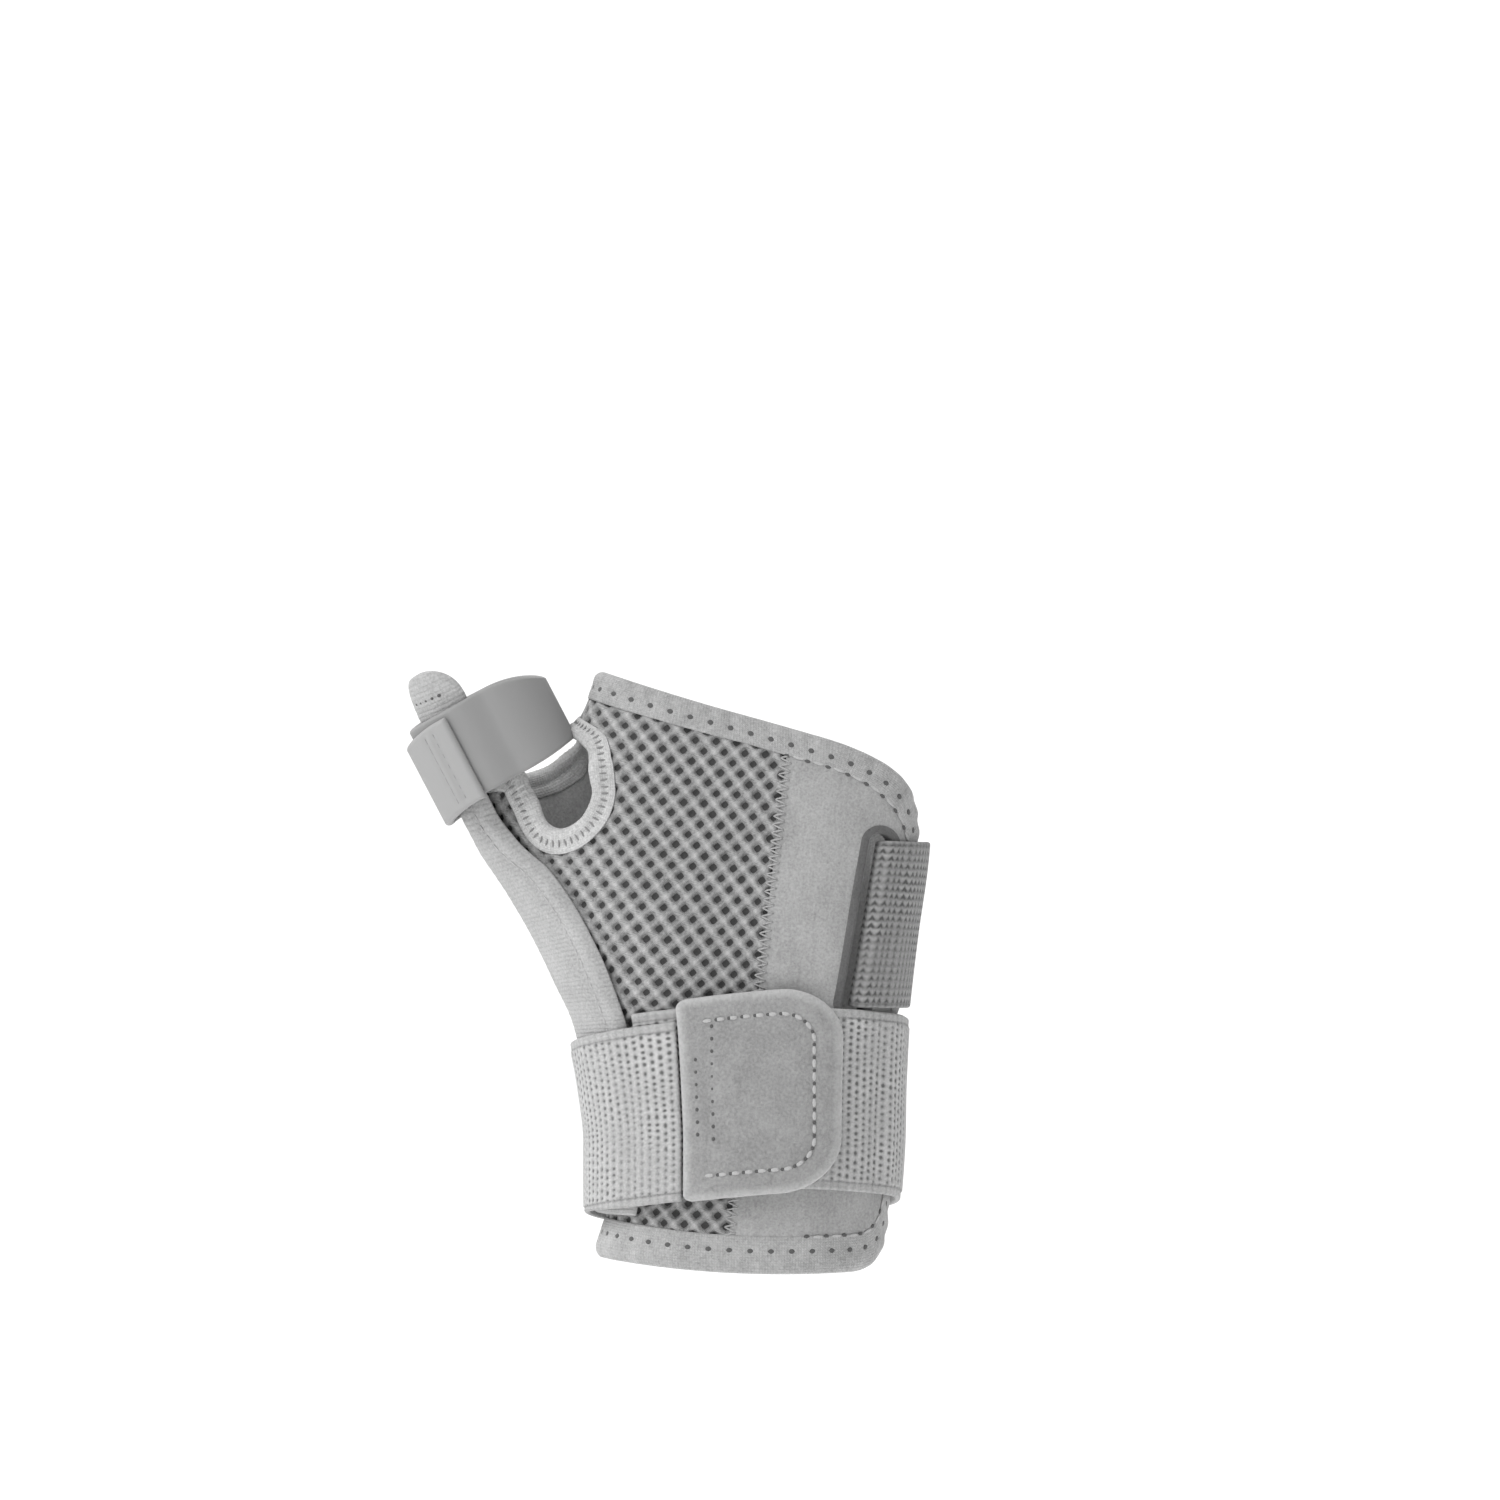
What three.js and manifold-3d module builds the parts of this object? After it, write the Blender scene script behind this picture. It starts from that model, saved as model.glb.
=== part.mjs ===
// Wrist and thumb brace for a left hand, in the form it has when it is worn: a soft wrap round the wrist
// and palm, open along the little-finger edge, with a bound thumb hole, a padded stay sleeve up the thumb,
// a thumb strap, a webbing strap through a slot in the palm, and a wide elastic wrist strap that closes
// with a tab.
// Millimetres. +Z points from the forearm to the fingers, -Y is the palm, -X is the thumb side.
// The origin is the middle of the wrist, inside the wrist strap.
import * as THREE from "three";
import { mergeVertices } from "three/addons/utils/BufferGeometryUtils.js";
import Module from "manifold-3d";

const wasm = await Module();
wasm.setup();

// Cloth thicknesses and the clearance between neighbouring pieces
const GAP = 0.3;
const BODY_CLOTH = 2.4;
const BINDING_FOLD = 0.5;
const WEBBING = 1.6;
const TAB_CLOTH = 2.2;
const SLEEVE_EDGE = 1.5;
const CUT_MARGIN = 1.5;

// Heights above the skin at which each layer of the brace starts; straps rise where they cross the free edges
const OVER_BODY = BODY_CLOTH + GAP;
const OVER_STRAP = OVER_BODY + WEBBING + GAP;
const OVER_FREE_EDGES = { fromTurn: 331, toTurn: 406, blend: 7, lift: 1.15 };

// Widths of the bound edges
const TOP_BINDING = 7.2;
const SIDE_BINDING = 6.0;
const BOTTOM_BINDING = 9.5;
const RIM_BINDING = 6.5;

// Horizontal sections of the hand form, from the forearm to the knuckles: how far the skin side of the wrap
// reaches to the thumb side (-X), the little-finger side (+X), the palm (-Y) and the back of the hand (+Y),
// and how square the section is (2 is an ellipse).
// The thumb's ball grows out to z 81, and the wrap steps back to the palm above it, where the thumb
// comes out.
const FORM_SECTIONS = [
  { z: -48, thumbSide: 34.0, littleSide: 32.0, palm: 23.5, back: 22.5, square: 2.4 },
  { z: -37, thumbSide: 33.8, littleSide: 33.2, palm: 23.2, back: 22.3, square: 2.4 },
  { z: -24, thumbSide: 31.2, littleSide: 34.0, palm: 23.0, back: 22.0, square: 2.4 },
  { z: -8, thumbSide: 31.2, littleSide: 35.0, palm: 22.7, back: 21.4, square: 2.4 },
  { z: 6, thumbSide: 32.8, littleSide: 35.4, palm: 22.3, back: 20.4, square: 2.4 },
  { z: 20, thumbSide: 35.5, littleSide: 36.0, palm: 22.0, back: 19.0, square: 2.4 },
  { z: 30, thumbSide: 38.6, littleSide: 37.0, palm: 21.9, back: 18.2, square: 2.4 },
  { z: 45, thumbSide: 45.2, littleSide: 38.8, palm: 21.5, back: 17.0, square: 2.4 },
  { z: 62, thumbSide: 55.0, littleSide: 41.2, palm: 20.5, back: 15.5, square: 2.4 },
  { z: 70, thumbSide: 60.0, littleSide: 41.9, palm: 19.8, back: 15.0, square: 2.5 },
  { z: 77, thumbSide: 63.2, littleSide: 42.4, palm: 19.0, back: 15.0, square: 2.6 },
  { z: 81, thumbSide: 63.8, littleSide: 42.8, palm: 18.4, back: 14.8, square: 2.7 },
  { z: 84, thumbSide: 62.0, littleSide: 42.8, palm: 18.0, back: 14.7, square: 2.8 },
  { z: 87, thumbSide: 57.0, littleSide: 42.8, palm: 17.6, back: 14.6, square: 2.9 },
  { z: 90, thumbSide: 49.0, littleSide: 42.8, palm: 17.3, back: 14.5, square: 3.0 },
  { z: 92.5, thumbSide: 43.0, littleSide: 42.8, palm: 17.0, back: 14.5, square: 3.1 },
  { z: 95, thumbSide: 39.8, littleSide: 42.8, palm: 16.7, back: 14.5, square: 3.15 },
  { z: 98, thumbSide: 37.8, littleSide: 42.8, palm: 16.3, back: 14.5, square: 3.2 },
  { z: 102, thumbSide: 36.0, littleSide: 42.8, palm: 15.9, back: 14.5, square: 3.2 },
  { z: 106, thumbSide: 34.3, littleSide: 42.8, palm: 15.5, back: 14.5, square: 3.2 },
  { z: 114, thumbSide: 31.5, littleSide: 42.8, palm: 15.0, back: 14.5, square: 3.2 },
];

// Soft bulges of the palm: the ball of the thumb and the heel of the little-finger side
const PALM_BULGES = [
  { x: -28, z: 44, reachX: 20, reachZ: 26, height: 4.5 },
  { x: 25, z: 42, reachX: 15, reachZ: 30, height: 3.0 },
];

// Outline of the wrap on each side. Turns are degrees round the arm: 0 little-finger side, 90 back,
// 180 thumb side, 270 palm. The top edge falls from the thumb to the little finger, and both corners
// at the free edge are quarter ellipses.
const PALM_OUTLINE = {
  thumbTurn: 180.6,
  freeTurn: 353,
  topAtThumb: 109,
  topFall: 0.285,
  topCornerTurn: 296,
  topCornerDrop: 26,
  bottomLow: -40.6,
  bottomRise: 4.2,
  bottomCornerTurn: 318,
  bottomCornerRise: 15,
};
const BACK_OUTLINE = {
  thumbTurn: 179.4,
  freeTurn: 28,
  topAtThumb: 109,
  topFall: 0.31,
  topCornerTurn: 66,
  topCornerDrop: 22,
  bottomLow: -39.6,
  bottomRise: 3.2,
  bottomCornerTurn: 60,
  bottomCornerRise: 15,
};
const TOP_EDGE_FROM_X = -36;
const BOTTOM_LOW_AT_X = 10;
const BOTTOM_RISE_OVER_X = 46;

// Seam between mesh and plain panel, as its places across the palm at two heights
const PALM_SEAM = { lowX: -3, lowZ: -30, highX: 11.5, highZ: 92 };

// Inner edge of the thumb hole, across the hand and up it: low over the palm, high at the web and behind
// the thumb. The side is -1 on the palm and 1 on the back; where x lies off the form the rim is on the
// thumb side itself.
const THUMB_RIM = [
  { x: -44.7, z: 70.5, side: -1 },
  { x: -39.4, z: 73.5, side: -1 },
  { x: -37.2, z: 80.0, side: -1 },
  { x: -38.0, z: 86.5, side: -1 },
  { x: -39.6, z: 90.6, side: -1 },
  { x: -70.0, z: 92.8, side: -1 },
  { x: -41.5, z: 90.0, side: 1 },
  { x: -47.5, z: 86.0, side: 1 },
  { x: -55.0, z: 83.6, side: 1 },
  { x: -70.0, z: 83.6, side: -1 },
  { x: -56.8, z: 85.4, side: -1 },
  { x: -53.2, z: 83.4, side: -1 },
  { x: -50.4, z: 77.6, side: -1 },
  { x: -48.0, z: 72.0, side: -1 },
];
const THUMB_HOLE_MIDDLE = { turn: 224, z: 87.4 };

// Strap slot in the plain panel: middle line, opening and the facing round it
const SLOT = { topX: 33.17, topZ: 66.6, bottomX: 26.43, bottomZ: 27.0, opening: 5.0, facing: 2.3 };

// Webbing over the little-finger edge
const HAND_STRAP = { lowZ: 26.1, highZ: 67.4, foldZ: 45, backTurn: 82, slack: 0.2, tuck: 5.5 };

// Wrist strap: one turn and a bit of wide elastic, in a plane that rises to the palm and the little finger.
// It starts on the palm beside the sleeve, a little high, and ends over its own start, at the tab.
const WRIST_STRAP = { width: 45.5, middle: -2.2, riseX: 0.075, riseY: -0.166, startTurn: 228 };
const STRAP_START = { lift: 3, fromTurn: 235, levelTurn: 330 };

// Closure tab of the wrist strap
const WRIST_TAB = { leftX: -13.6, rightX: 22.5, height: 51, rise: 2.7, slope: 0.02, corner: 13 };

// Thumb: the place and lean of its middle, the room inside its strap, and where the strap rides up over
// the sleeve on the outside of the thumb
const THUMB = { x: -59.5, y: -6.0, z: 95, leanDeg: 27.5, forwardDeg: 5, radius: 14.6, flatter: 1.2 };
const THUMB_STRAP = {
  low: -11.5,
  high: 10.6,
  frontRise: 2.0,
  backRise: 4.0,
  inwardRise: 4.8,
  inwardFall: 6.0,
};
const OVER_SLEEVE = { risesFrom: 96, risesBy: 138, fallsFrom: 240, fallsBy: 272, clearance: 1.5 };
const THUMB_TAB = { fromTurn: 242, toTurn: 132, low: -11.4, high: 11.0, fall: 3.9 };

// Stay sleeve: how far it reaches round to the back and to the front of the thumb side, and its thickness,
// from above the bottom binding, over the thumb's ball, to a round end beside the thumb's nail
const SLEEVE_SECTIONS = [
  { z: -26.4, back: -9.0, front: 19.0, pad: 3.0 },
  { z: 10, back: -9.0, front: 20.2, pad: 3.0 },
  { z: 24, back: -9.2, front: 21.2, pad: 3.2 },
  { z: 36, back: -9.6, front: 21.4, pad: 4.2 },
  { z: 48, back: -10.0, front: 20.0, pad: 4.3 },
  { z: 60, back: -10.0, front: 16.8, pad: 4.3 },
  { z: 68, back: -10.0, front: 13.2, pad: 3.8 },
  { z: 76, back: -9.5, front: 10.8, pad: 3.2 },
  { z: 84, back: -9.0, front: 10.0, pad: 3.2 },
  { z: 98, back: -5.5, front: 18.4, pad: 3.2 },
  { z: 109.5, back: -5.5, front: 18.4, pad: 3.2 },
];
const SLEEVE = { tip: 15, leavesFrom: 68, leavesBy: 92, slack: 0.35, overRim: 0.9, rimFrom: 58, rimBy: 70 };
const SLEEVE_CLEARS = { from: 66, by: 74, until: 83, gone: 91, share: 1.25 };
const BALL_TOP = 81;

// Facets along each edge and over each panel
const FACETS = {
  topEdge: 13,
  topCorner: 8,
  freeEdge: 9,
  bottomCorner: 6,
  bottomEdge: 11,
  thumbRim: 52,
  meshColumns: 16,
  palmColumns: 11,
  backColumns: 15,
  slotEnd: 6,
  handStrap: 30,
  wristStrap: 70,
  thumbStrap: 44,
  thumbTab: 14,
  sleeve: 28,
  strapRows: 4,
};

const DEGREE = Math.PI / 180;
const lerp = THREE.MathUtils.lerp;
const clamp01 = (value) => THREE.MathUtils.clamp(value, 0, 1);
const ease = (value, from, to) => THREE.MathUtils.smoothstep(value, from, to);
const steps = (count) => Array.from({ length: count + 1 }, (_, i) => i / count);

// One column of a table at a height, by a cubic that never overshoots its rows.
function columnAt(rows, column, z) {
  const last = rows.length - 2;
  const found = rows.findIndex((row) => z < row.z);
  const i = THREE.MathUtils.clamp(found < 0 ? last : found - 1, 0, last);
  const grade = (k) => (rows[k + 1][column] - rows[k][column]) / (rows[k + 1].z - rows[k].z);
  const slope = (k) => {
    if (k === 0) return grade(0);
    if (k === rows.length - 1) return grade(k - 1);
    const product = grade(k - 1) * grade(k);
    return product > 0 ? (2 * product) / (grade(k - 1) + grade(k)) : 0;
  };
  const span = rows[i + 1].z - rows[i].z;
  const t = (z - rows[i].z) / span;
  return (
    rows[i][column] * (1 + 2 * t) * (1 - t) ** 2 +
    slope(i) * span * t * (1 - t) ** 2 +
    rows[i + 1][column] * t * t * (3 - 2 * t) +
    slope(i + 1) * span * t * t * (t - 1)
  );
}

// How far a section reaches sideways and in depth at a height, in the quarter that x and y lie in,
// and its power.
function sectionAt(z, x, y) {
  return {
    reach: columnAt(FORM_SECTIONS, x < 0 ? "thumbSide" : "littleSide", z),
    depth: columnAt(FORM_SECTIONS, y < 0 ? "palm" : "back", z),
    power: columnAt(FORM_SECTIONS, "square", z),
  };
}

// A point of the hand form at a turn (degrees) and a height.
function formPoint(turn, z) {
  const c = Math.cos(turn * DEGREE);
  const s = Math.sin(turn * DEGREE);
  const { reach, depth, power } = sectionAt(z, c, s);
  const stretch = (Math.abs(c) ** power + Math.abs(s) ** power) ** (-1 / power);
  const x = reach * c * stretch;
  let y = depth * s * stretch;
  if (s < 0) {
    for (const bulge of PALM_BULGES) {
      const away = ((x - bulge.x) / bulge.reachX) ** 2 + ((z - bulge.z) / bulge.reachZ) ** 2;
      y += s * bulge.height * Math.exp(-away);
    }
  }
  return new THREE.Vector3(x, y, z);
}

// The form's tangents round the arm and up it, and its outward normal.
function formFrame(turn, z) {
  const dTurn = 0.05;
  const dZ = 0.02;
  const round = formPoint(turn + dTurn, z).sub(formPoint(turn - dTurn, z)).divideScalar(2 * dTurn);
  const up = formPoint(turn, z + dZ).sub(formPoint(turn, z - dZ)).divideScalar(2 * dZ);
  const normal = round.clone().cross(up).normalize();
  return { round, up, normal };
}

// A point at a height above the skin.
function above(turn, z, lift) {
  return formPoint(turn, z).addScaledVector(formFrame(turn, z).normal, lift);
}

// The turn where the form is at a given place across it, on the palm side or on the back.
function turnAt(x, z, side) {
  let low = 0;
  let high = 180;
  for (let i = 0; i < 40; i++) {
    const middle = (low + high) / 2;
    if (formPoint(180 - side * middle, z).x < x) low = middle;
    else high = middle;
  }
  return 180 - (side * (low + high)) / 2;
}

const palmTurn = (x, z) => turnAt(x, z, -1);

// Walks over the form from a place, in a direction, for a distance.
function walk(place, direction, distance) {
  const stride = distance / Math.ceil(Math.abs(distance) / 1.5);
  let { turn, z } = place;
  let heading = direction.clone();
  for (let gone = 0; gone < Math.abs(distance) - 1e-6; gone += Math.abs(stride)) {
    const { round, up, normal } = formFrame(turn, z);
    heading = heading.addScaledVector(normal, -heading.dot(normal)).normalize();
    const rr = round.dot(round);
    const ru = round.dot(up);
    const uu = up.dot(up);
    const hr = heading.dot(round) * stride;
    const hu = heading.dot(up) * stride;
    const det = rr * uu - ru * ru;
    turn += (hr * uu - hu * ru) / det;
    z += (hu * rr - hr * ru) / det;
  }
  return { turn, z };
}

// A closed solid through stations. Each has a row of outer and a row of inner points, of one length
// throughout.
function loft(stations, closed = false) {
  const width = stations[0].outer.length;
  const around = 2 * width;
  const points = stations.flatMap(({ outer, inner }) => [...outer, ...[...inner].reverse()]);
  const index = [];
  const quad = (a, b, c, d) => index.push(a, b, c, a, c, d);
  const spans = closed ? stations.length : stations.length - 1;
  for (let i = 0; i < spans; i++) {
    const here = i * around;
    const next = ((i + 1) % stations.length) * around;
    for (let k = 0; k < around; k++) {
      const beside = (k + 1) % around;
      quad(here + k, here + beside, next + beside, next + k);
    }
  }
  if (!closed) {
    const end = (stations.length - 1) * around;
    for (let k = 0; k < width - 1; k++) {
      const inside = around - 1 - k;
      quad(k, inside, inside - 1, k + 1);
      quad(end + k, end + k + 1, end + inside - 1, end + inside);
    }
  }
  const geometry = new THREE.BufferGeometry().setFromPoints(points);
  geometry.setIndex(signedVolume(points, index) < 0 ? index.reverse() : index);
  return geometry;
}

function signedVolume(points, index) {
  let volume = 0;
  for (let i = 0; i < index.length; i += 3) {
    const [a, b, c] = [points[index[i]], points[index[i + 1]], points[index[i + 2]]];
    volume += a.dot(b.clone().cross(c)) / 6;
  }
  return volume;
}

// Takes one closed geometry away from another.
function cut(geometry, cutter) {
  const solid = (source) => {
    const merged = mergeVertices(source, 1e-4);
    return new wasm.Manifold(
      new wasm.Mesh({
        numProp: 3,
        vertProperties: new Float32Array(merged.attributes.position.array),
        triVerts: new Uint32Array(merged.index.array),
      }),
    );
  };
  const mesh = solid(geometry).subtract(solid(cutter)).getMesh();
  const result = new THREE.BufferGeometry();
  result.setAttribute("position", new THREE.BufferAttribute(new Float32Array(mesh.vertProperties), 3));
  result.setIndex(new THREE.BufferAttribute(new Uint32Array(mesh.triVerts), 1));
  return result;
}

// A wall over the form: places[i][k] are turn and height, from the skin side at one lift to the outside
// at another.
function wall(places, inside, outside, closed = false) {
  const stations = places.map((row) => ({
    inner: row.map(({ turn, z }) => above(turn, z, inside)),
    outer: row.map(({ turn, z }) => above(turn, z, outside)),
  }));
  return loft(stations, closed);
}

// The wrap's outline

// Height of the straight stretch of the top or bottom edge at a turn, moved inwards by an inset.
function topLine(outline, turn, inset) {
  const x = formPoint(turn, outline.topAtThumb - TOP_BINDING).x;
  return outline.topAtThumb - outline.topFall * (x - TOP_EDGE_FROM_X) - inset;
}

function bottomLine(outline, turn, inset) {
  const x = formPoint(turn, outline.bottomLow).x;
  return outline.bottomLow + outline.bottomRise * ((x - BOTTOM_LOW_AT_X) / BOTTOM_RISE_OVER_X) ** 2 + inset;
}

// How far along a corner a turn lies, 0 where it begins and 1 at the free edge.
function cornerShare(from, freeTurn, turn) {
  return clamp01((turn - from) / (freeTurn - from));
}

const quarterDrop = (share) => 1 - Math.sqrt(Math.max(0, 1 - share * share));

// The free edge moved inwards, in turns.
function freeEdge(outline, inset) {
  const perDegree = formFrame(outline.freeTurn, 20).round.length();
  const inwards = Math.sign(outline.thumbTurn - outline.freeTurn);
  return outline.freeTurn + (inwards * inset) / perDegree;
}

function topEdge(outline, turn, insets) {
  const share = cornerShare(outline.topCornerTurn, freeEdge(outline, insets.side), turn);
  const cornerDrop = outline.topCornerDrop - insets.top / 2;
  return topLine(outline, turn, insets.top) - cornerDrop * quarterDrop(share);
}

function bottomEdge(outline, turn, insets) {
  const share = cornerShare(outline.bottomCornerTurn, freeEdge(outline, insets.side), turn);
  const cornerRise = outline.bottomCornerRise - insets.bottom / 2;
  return bottomLine(outline, turn, insets.bottom) + cornerRise * quarterDrop(share);
}

// The outline from the thumb along the top, down the free edge and back along the bottom, as places.
function outlinePath(outline, insets) {
  const free = freeEdge(outline, insets.side);
  const path = [];
  const top = (turn) => path.push({ turn, z: topEdge(outline, turn, insets) });
  const bottom = (turn) => path.push({ turn, z: bottomEdge(outline, turn, insets) });
  const along = (from, to, count, put) => steps(count).slice(0, -1).forEach((s) => put(lerp(from, to, s)));
  const corner = (from, put, shares) =>
    shares.forEach((s) => put(lerp(from, free, Math.sin((s * Math.PI) / 2))));
  along(outline.thumbTurn, outline.topCornerTurn, FACETS.topEdge, top);
  corner(outline.topCornerTurn, top, steps(FACETS.topCorner));
  const highEnd = topEdge(outline, free, insets);
  const lowEnd = bottomEdge(outline, free, insets);
  const side = steps(FACETS.freeEdge).slice(1, -1);
  side.forEach((s) => path.push({ turn: free, z: lerp(highEnd, lowEnd, s) }));
  corner(outline.bottomCornerTurn, bottom, steps(FACETS.bottomCorner).reverse());
  along(outline.bottomCornerTurn, outline.thumbTurn, FACETS.bottomEdge, bottom);
  bottom(outline.thumbTurn);
  return path;
}

const NO_INSET = { top: 0, side: 0, bottom: 0 };
const BINDING_INSET = { top: TOP_BINDING, side: SIDE_BINDING, bottom: BOTTOM_BINDING };
const PANEL_INSET = { top: TOP_BINDING + GAP, side: SIDE_BINDING + GAP, bottom: BOTTOM_BINDING + GAP };

// A folded edge strip between two matching paths, fuller in its middle than at its sides, grown by a margin.
function bindingStrip(outside, inside, closed = false, margin = 0) {
  const across = [0, 0.5, 1];
  const stations = outside.map((outer, i) => {
    const at = (share) => ({
      turn: lerp(outer.turn, inside[i].turn, share),
      z: lerp(outer.z, inside[i].z, share),
    });
    const fold = (share) => BINDING_FOLD * (share === 0.5 ? 1 : 0.35) + margin;
    return {
      outer: across.map((share) => above(at(share).turn, at(share).z, BODY_CLOTH + fold(share))),
      inner: across.map((share) => above(at(share).turn, at(share).z, -fold(share))),
    };
  });
  return loft(stations, closed);
}

function edgeBinding(outline) {
  return bindingStrip(outlinePath(outline, NO_INSET), outlinePath(outline, BINDING_INSET));
}

// The thumb hole

// The rim as a closed smooth line of places, and the same line moved out over the form.
function thumbRim(out) {
  const curve = new THREE.CatmullRomCurve3(
    THUMB_RIM.map(({ x, z, side }) => new THREE.Vector3(turnAt(x, z, side), z, 0)),
    true,
    "centripetal",
  );
  const line = (s) => {
    const point = curve.getPoint(((s % 1) + 1) % 1);
    return { turn: point.x, z: point.y };
  };
  const places = steps(FACETS.thumbRim).slice(0, -1).map((s) => {
    const here = line(s);
    const ahead = line(s + 0.015);
    const behind = line(s - 0.015);
    const along = formPoint(ahead.turn, ahead.z).sub(formPoint(behind.turn, behind.z));
    const outwards = along.cross(formFrame(here.turn, here.z).normal);
    return out === 0 ? here : walk(here, outwards, out);
  });
  return out === 0 ? places : relaxed(places, 2);
}

// Evens out a closed line of places by moving each towards the middle of its neighbours.
function relaxed(places, times) {
  if (times === 0) return places;
  const moved = places.map(({ turn, z }, i) => {
    const before = places.at(i - 1);
    const after = places[(i + 1) % places.length];
    return { turn: (2 * turn + before.turn + after.turn) / 4, z: (2 * z + before.z + after.z) / 4 };
  });
  return relaxed(moved, times - 1);
}

// Cuts the thumb hole from a panel, and then the room for the rim's binding and its gap.
function withThumbHole(panel) {
  const room = bindingStrip(thumbRim(0), thumbRim(RIM_BINDING + 1.5 * GAP), true, GAP);
  return cut(cut(panel, thumbHolePlug()), room);
}

// A plug that follows the form under and over the cloth, out to the rim's binding.
function thumbHolePlug() {
  const rim = thumbRim(RIM_BINDING + GAP);
  const middle = THUMB_HOLE_MIDDLE;
  const shares = [1, 0.8, 0.6, 0.4, 0.2, 0];
  const ring = (share) =>
    rim.map(({ turn, z }) => ({ turn: lerp(middle.turn, turn, share), z: lerp(middle.z, z, share) }));
  const rings = shares.map(ring);
  const margin = (k) => (k === 0 ? 0.4 : 1.4) * CUT_MARGIN;
  const stations = rim.map((_, i) => ({
    outer: rings.map((places, k) => above(places[i].turn, places[i].z, BODY_CLOTH + margin(k))),
    inner: rings.map((places, k) => above(places[i].turn, places[i].z, -margin(k))),
  }));
  return loft(stations, true);
}

function thumbBinding() {
  return bindingStrip(thumbRim(0), thumbRim(RIM_BINDING), true);
}

// Body panels

// Heights of a panel's rows as shares of its height; beside the thumb hole they are closer together at
// the top.
const EVEN_ROWS = steps(14);
const THUMB_ROWS = steps(22).map((s) => (s < 0.5 ? 1.5 * s : 0.5 + 0.5 * s));

function panelPlaces(outline, columns, rows, fromTurn, toTurn) {
  return steps(columns).map((s) =>
    rows.map((share) => {
      const turn = lerp(fromTurn(share), toTurn(share), s);
      return { turn, z: panelHeight(outline, turn, share) };
    }),
  );
}

// Height at a turn and a share of the way from a panel's lower edge to its upper one.
function panelHeight(outline, turn, share) {
  return lerp(bottomEdge(outline, turn, PANEL_INSET), topEdge(outline, turn, PANEL_INSET), share);
}

// The seam's turn at a share of the panel's height, moved sideways by a distance.
function seamTurn(share, aside) {
  let turn = 270;
  for (let i = 0; i < 6; i++) {
    const z = panelHeight(PALM_OUTLINE, turn, share);
    const { lowX, lowZ, highX, highZ } = PALM_SEAM;
    turn = palmTurn(THREE.MathUtils.mapLinear(z, lowZ, highZ, lowX, highX) + aside, z);
  }
  return turn;
}

function meshPanel() {
  const places = panelPlaces(
    PALM_OUTLINE,
    FACETS.meshColumns,
    THUMB_ROWS,
    () => PALM_OUTLINE.thumbTurn,
    (share) => seamTurn(share, -GAP / 2),
  );
  return withThumbHole(wall(places, 0, BODY_CLOTH));
}

function palmPanel() {
  const places = panelPlaces(
    PALM_OUTLINE,
    FACETS.palmColumns,
    EVEN_ROWS,
    (share) => seamTurn(share, GAP / 2),
    () => freeEdge(PALM_OUTLINE, PANEL_INSET.side),
  );
  const radius = SLOT.opening / 2 + SLOT.facing + GAP;
  const top = new THREE.Vector2(SLOT.topX, SLOT.topZ);
  const bottom = new THREE.Vector2(SLOT.bottomX, SLOT.bottomZ);
  const along = top.clone().sub(bottom).normalize();
  const aside = new THREE.Vector2(along.y, -along.x);
  const arc = steps(FACETS.slotEnd).slice(1).map((s) => Math.sin((s * Math.PI) / 2));
  const rows = [
    ...arc.toReversed().map((share) => ({ centre: bottom, past: -share })),
    ...steps(4).map((s) => ({ centre: bottom.clone().lerp(top, s), past: 0 })),
    ...arc.map((share) => ({ centre: top, past: share })),
  ];
  const hole = rows.map(({ centre, past }) => {
    const half = radius * Math.max(0.02, Math.sqrt(1 - past * past));
    return [-half, 0, half].map((side) => {
      const { x, y } = centre.clone().addScaledVector(along, past * radius).addScaledVector(aside, side);
      return { turn: palmTurn(x, y), z: y };
    });
  });
  return cut(wall(places, 0, BODY_CLOTH), wall(hole, -CUT_MARGIN, BODY_CLOTH + CUT_MARGIN));
}

function backPanel() {
  const places = panelPlaces(
    BACK_OUTLINE,
    FACETS.backColumns,
    THUMB_ROWS,
    () => BACK_OUTLINE.thumbTurn,
    () => freeEdge(BACK_OUTLINE, PANEL_INSET.side),
  );
  return withThumbHole(wall(places, 0, BODY_CLOTH));
}

// The strap slot and its webbing

// The slot's outline grown by a distance, as places: two straight sides and two round ends.
function slotPath(grown) {
  const radius = SLOT.opening / 2 + grown;
  const top = new THREE.Vector2(SLOT.topX, SLOT.topZ);
  const bottom = new THREE.Vector2(SLOT.bottomX, SLOT.bottomZ);
  const lean = Math.atan2(top.x - bottom.x, top.y - bottom.y);
  const half = (centre, from) =>
    steps(FACETS.slotEnd).map((s) => {
      const angle = from + s * Math.PI - lean;
      return new THREE.Vector2(centre.x + radius * Math.cos(angle), centre.y + radius * Math.sin(angle));
    });
  const upper = half(top, 0);
  const lower = half(bottom, Math.PI);
  const side = (from, to) => [0.25, 0.5, 0.75].map((s) => from.clone().lerp(to, s));
  const outline = [...upper, ...side(upper.at(-1), lower[0]), ...lower, ...side(lower.at(-1), upper[0])];
  return outline.map(({ x, y }) => ({ turn: palmTurn(x, y), z: y }));
}

function slotTrim() {
  const opening = slotPath(0);
  const facing = slotPath(SLOT.facing);
  return wall(opening.map((place, i) => [place, facing[i]]), 0, BODY_CLOTH, true);
}

// Extra height of a strap where it passes over the two free edges.
function edgeRise(turn) {
  const { fromTurn, toTurn, blend, lift } = OVER_FREE_EDGES;
  return lift * ease(turn, fromTurn - blend, fromTurn) * (1 - ease(turn, toTurn, toTurn + blend));
}

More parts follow.
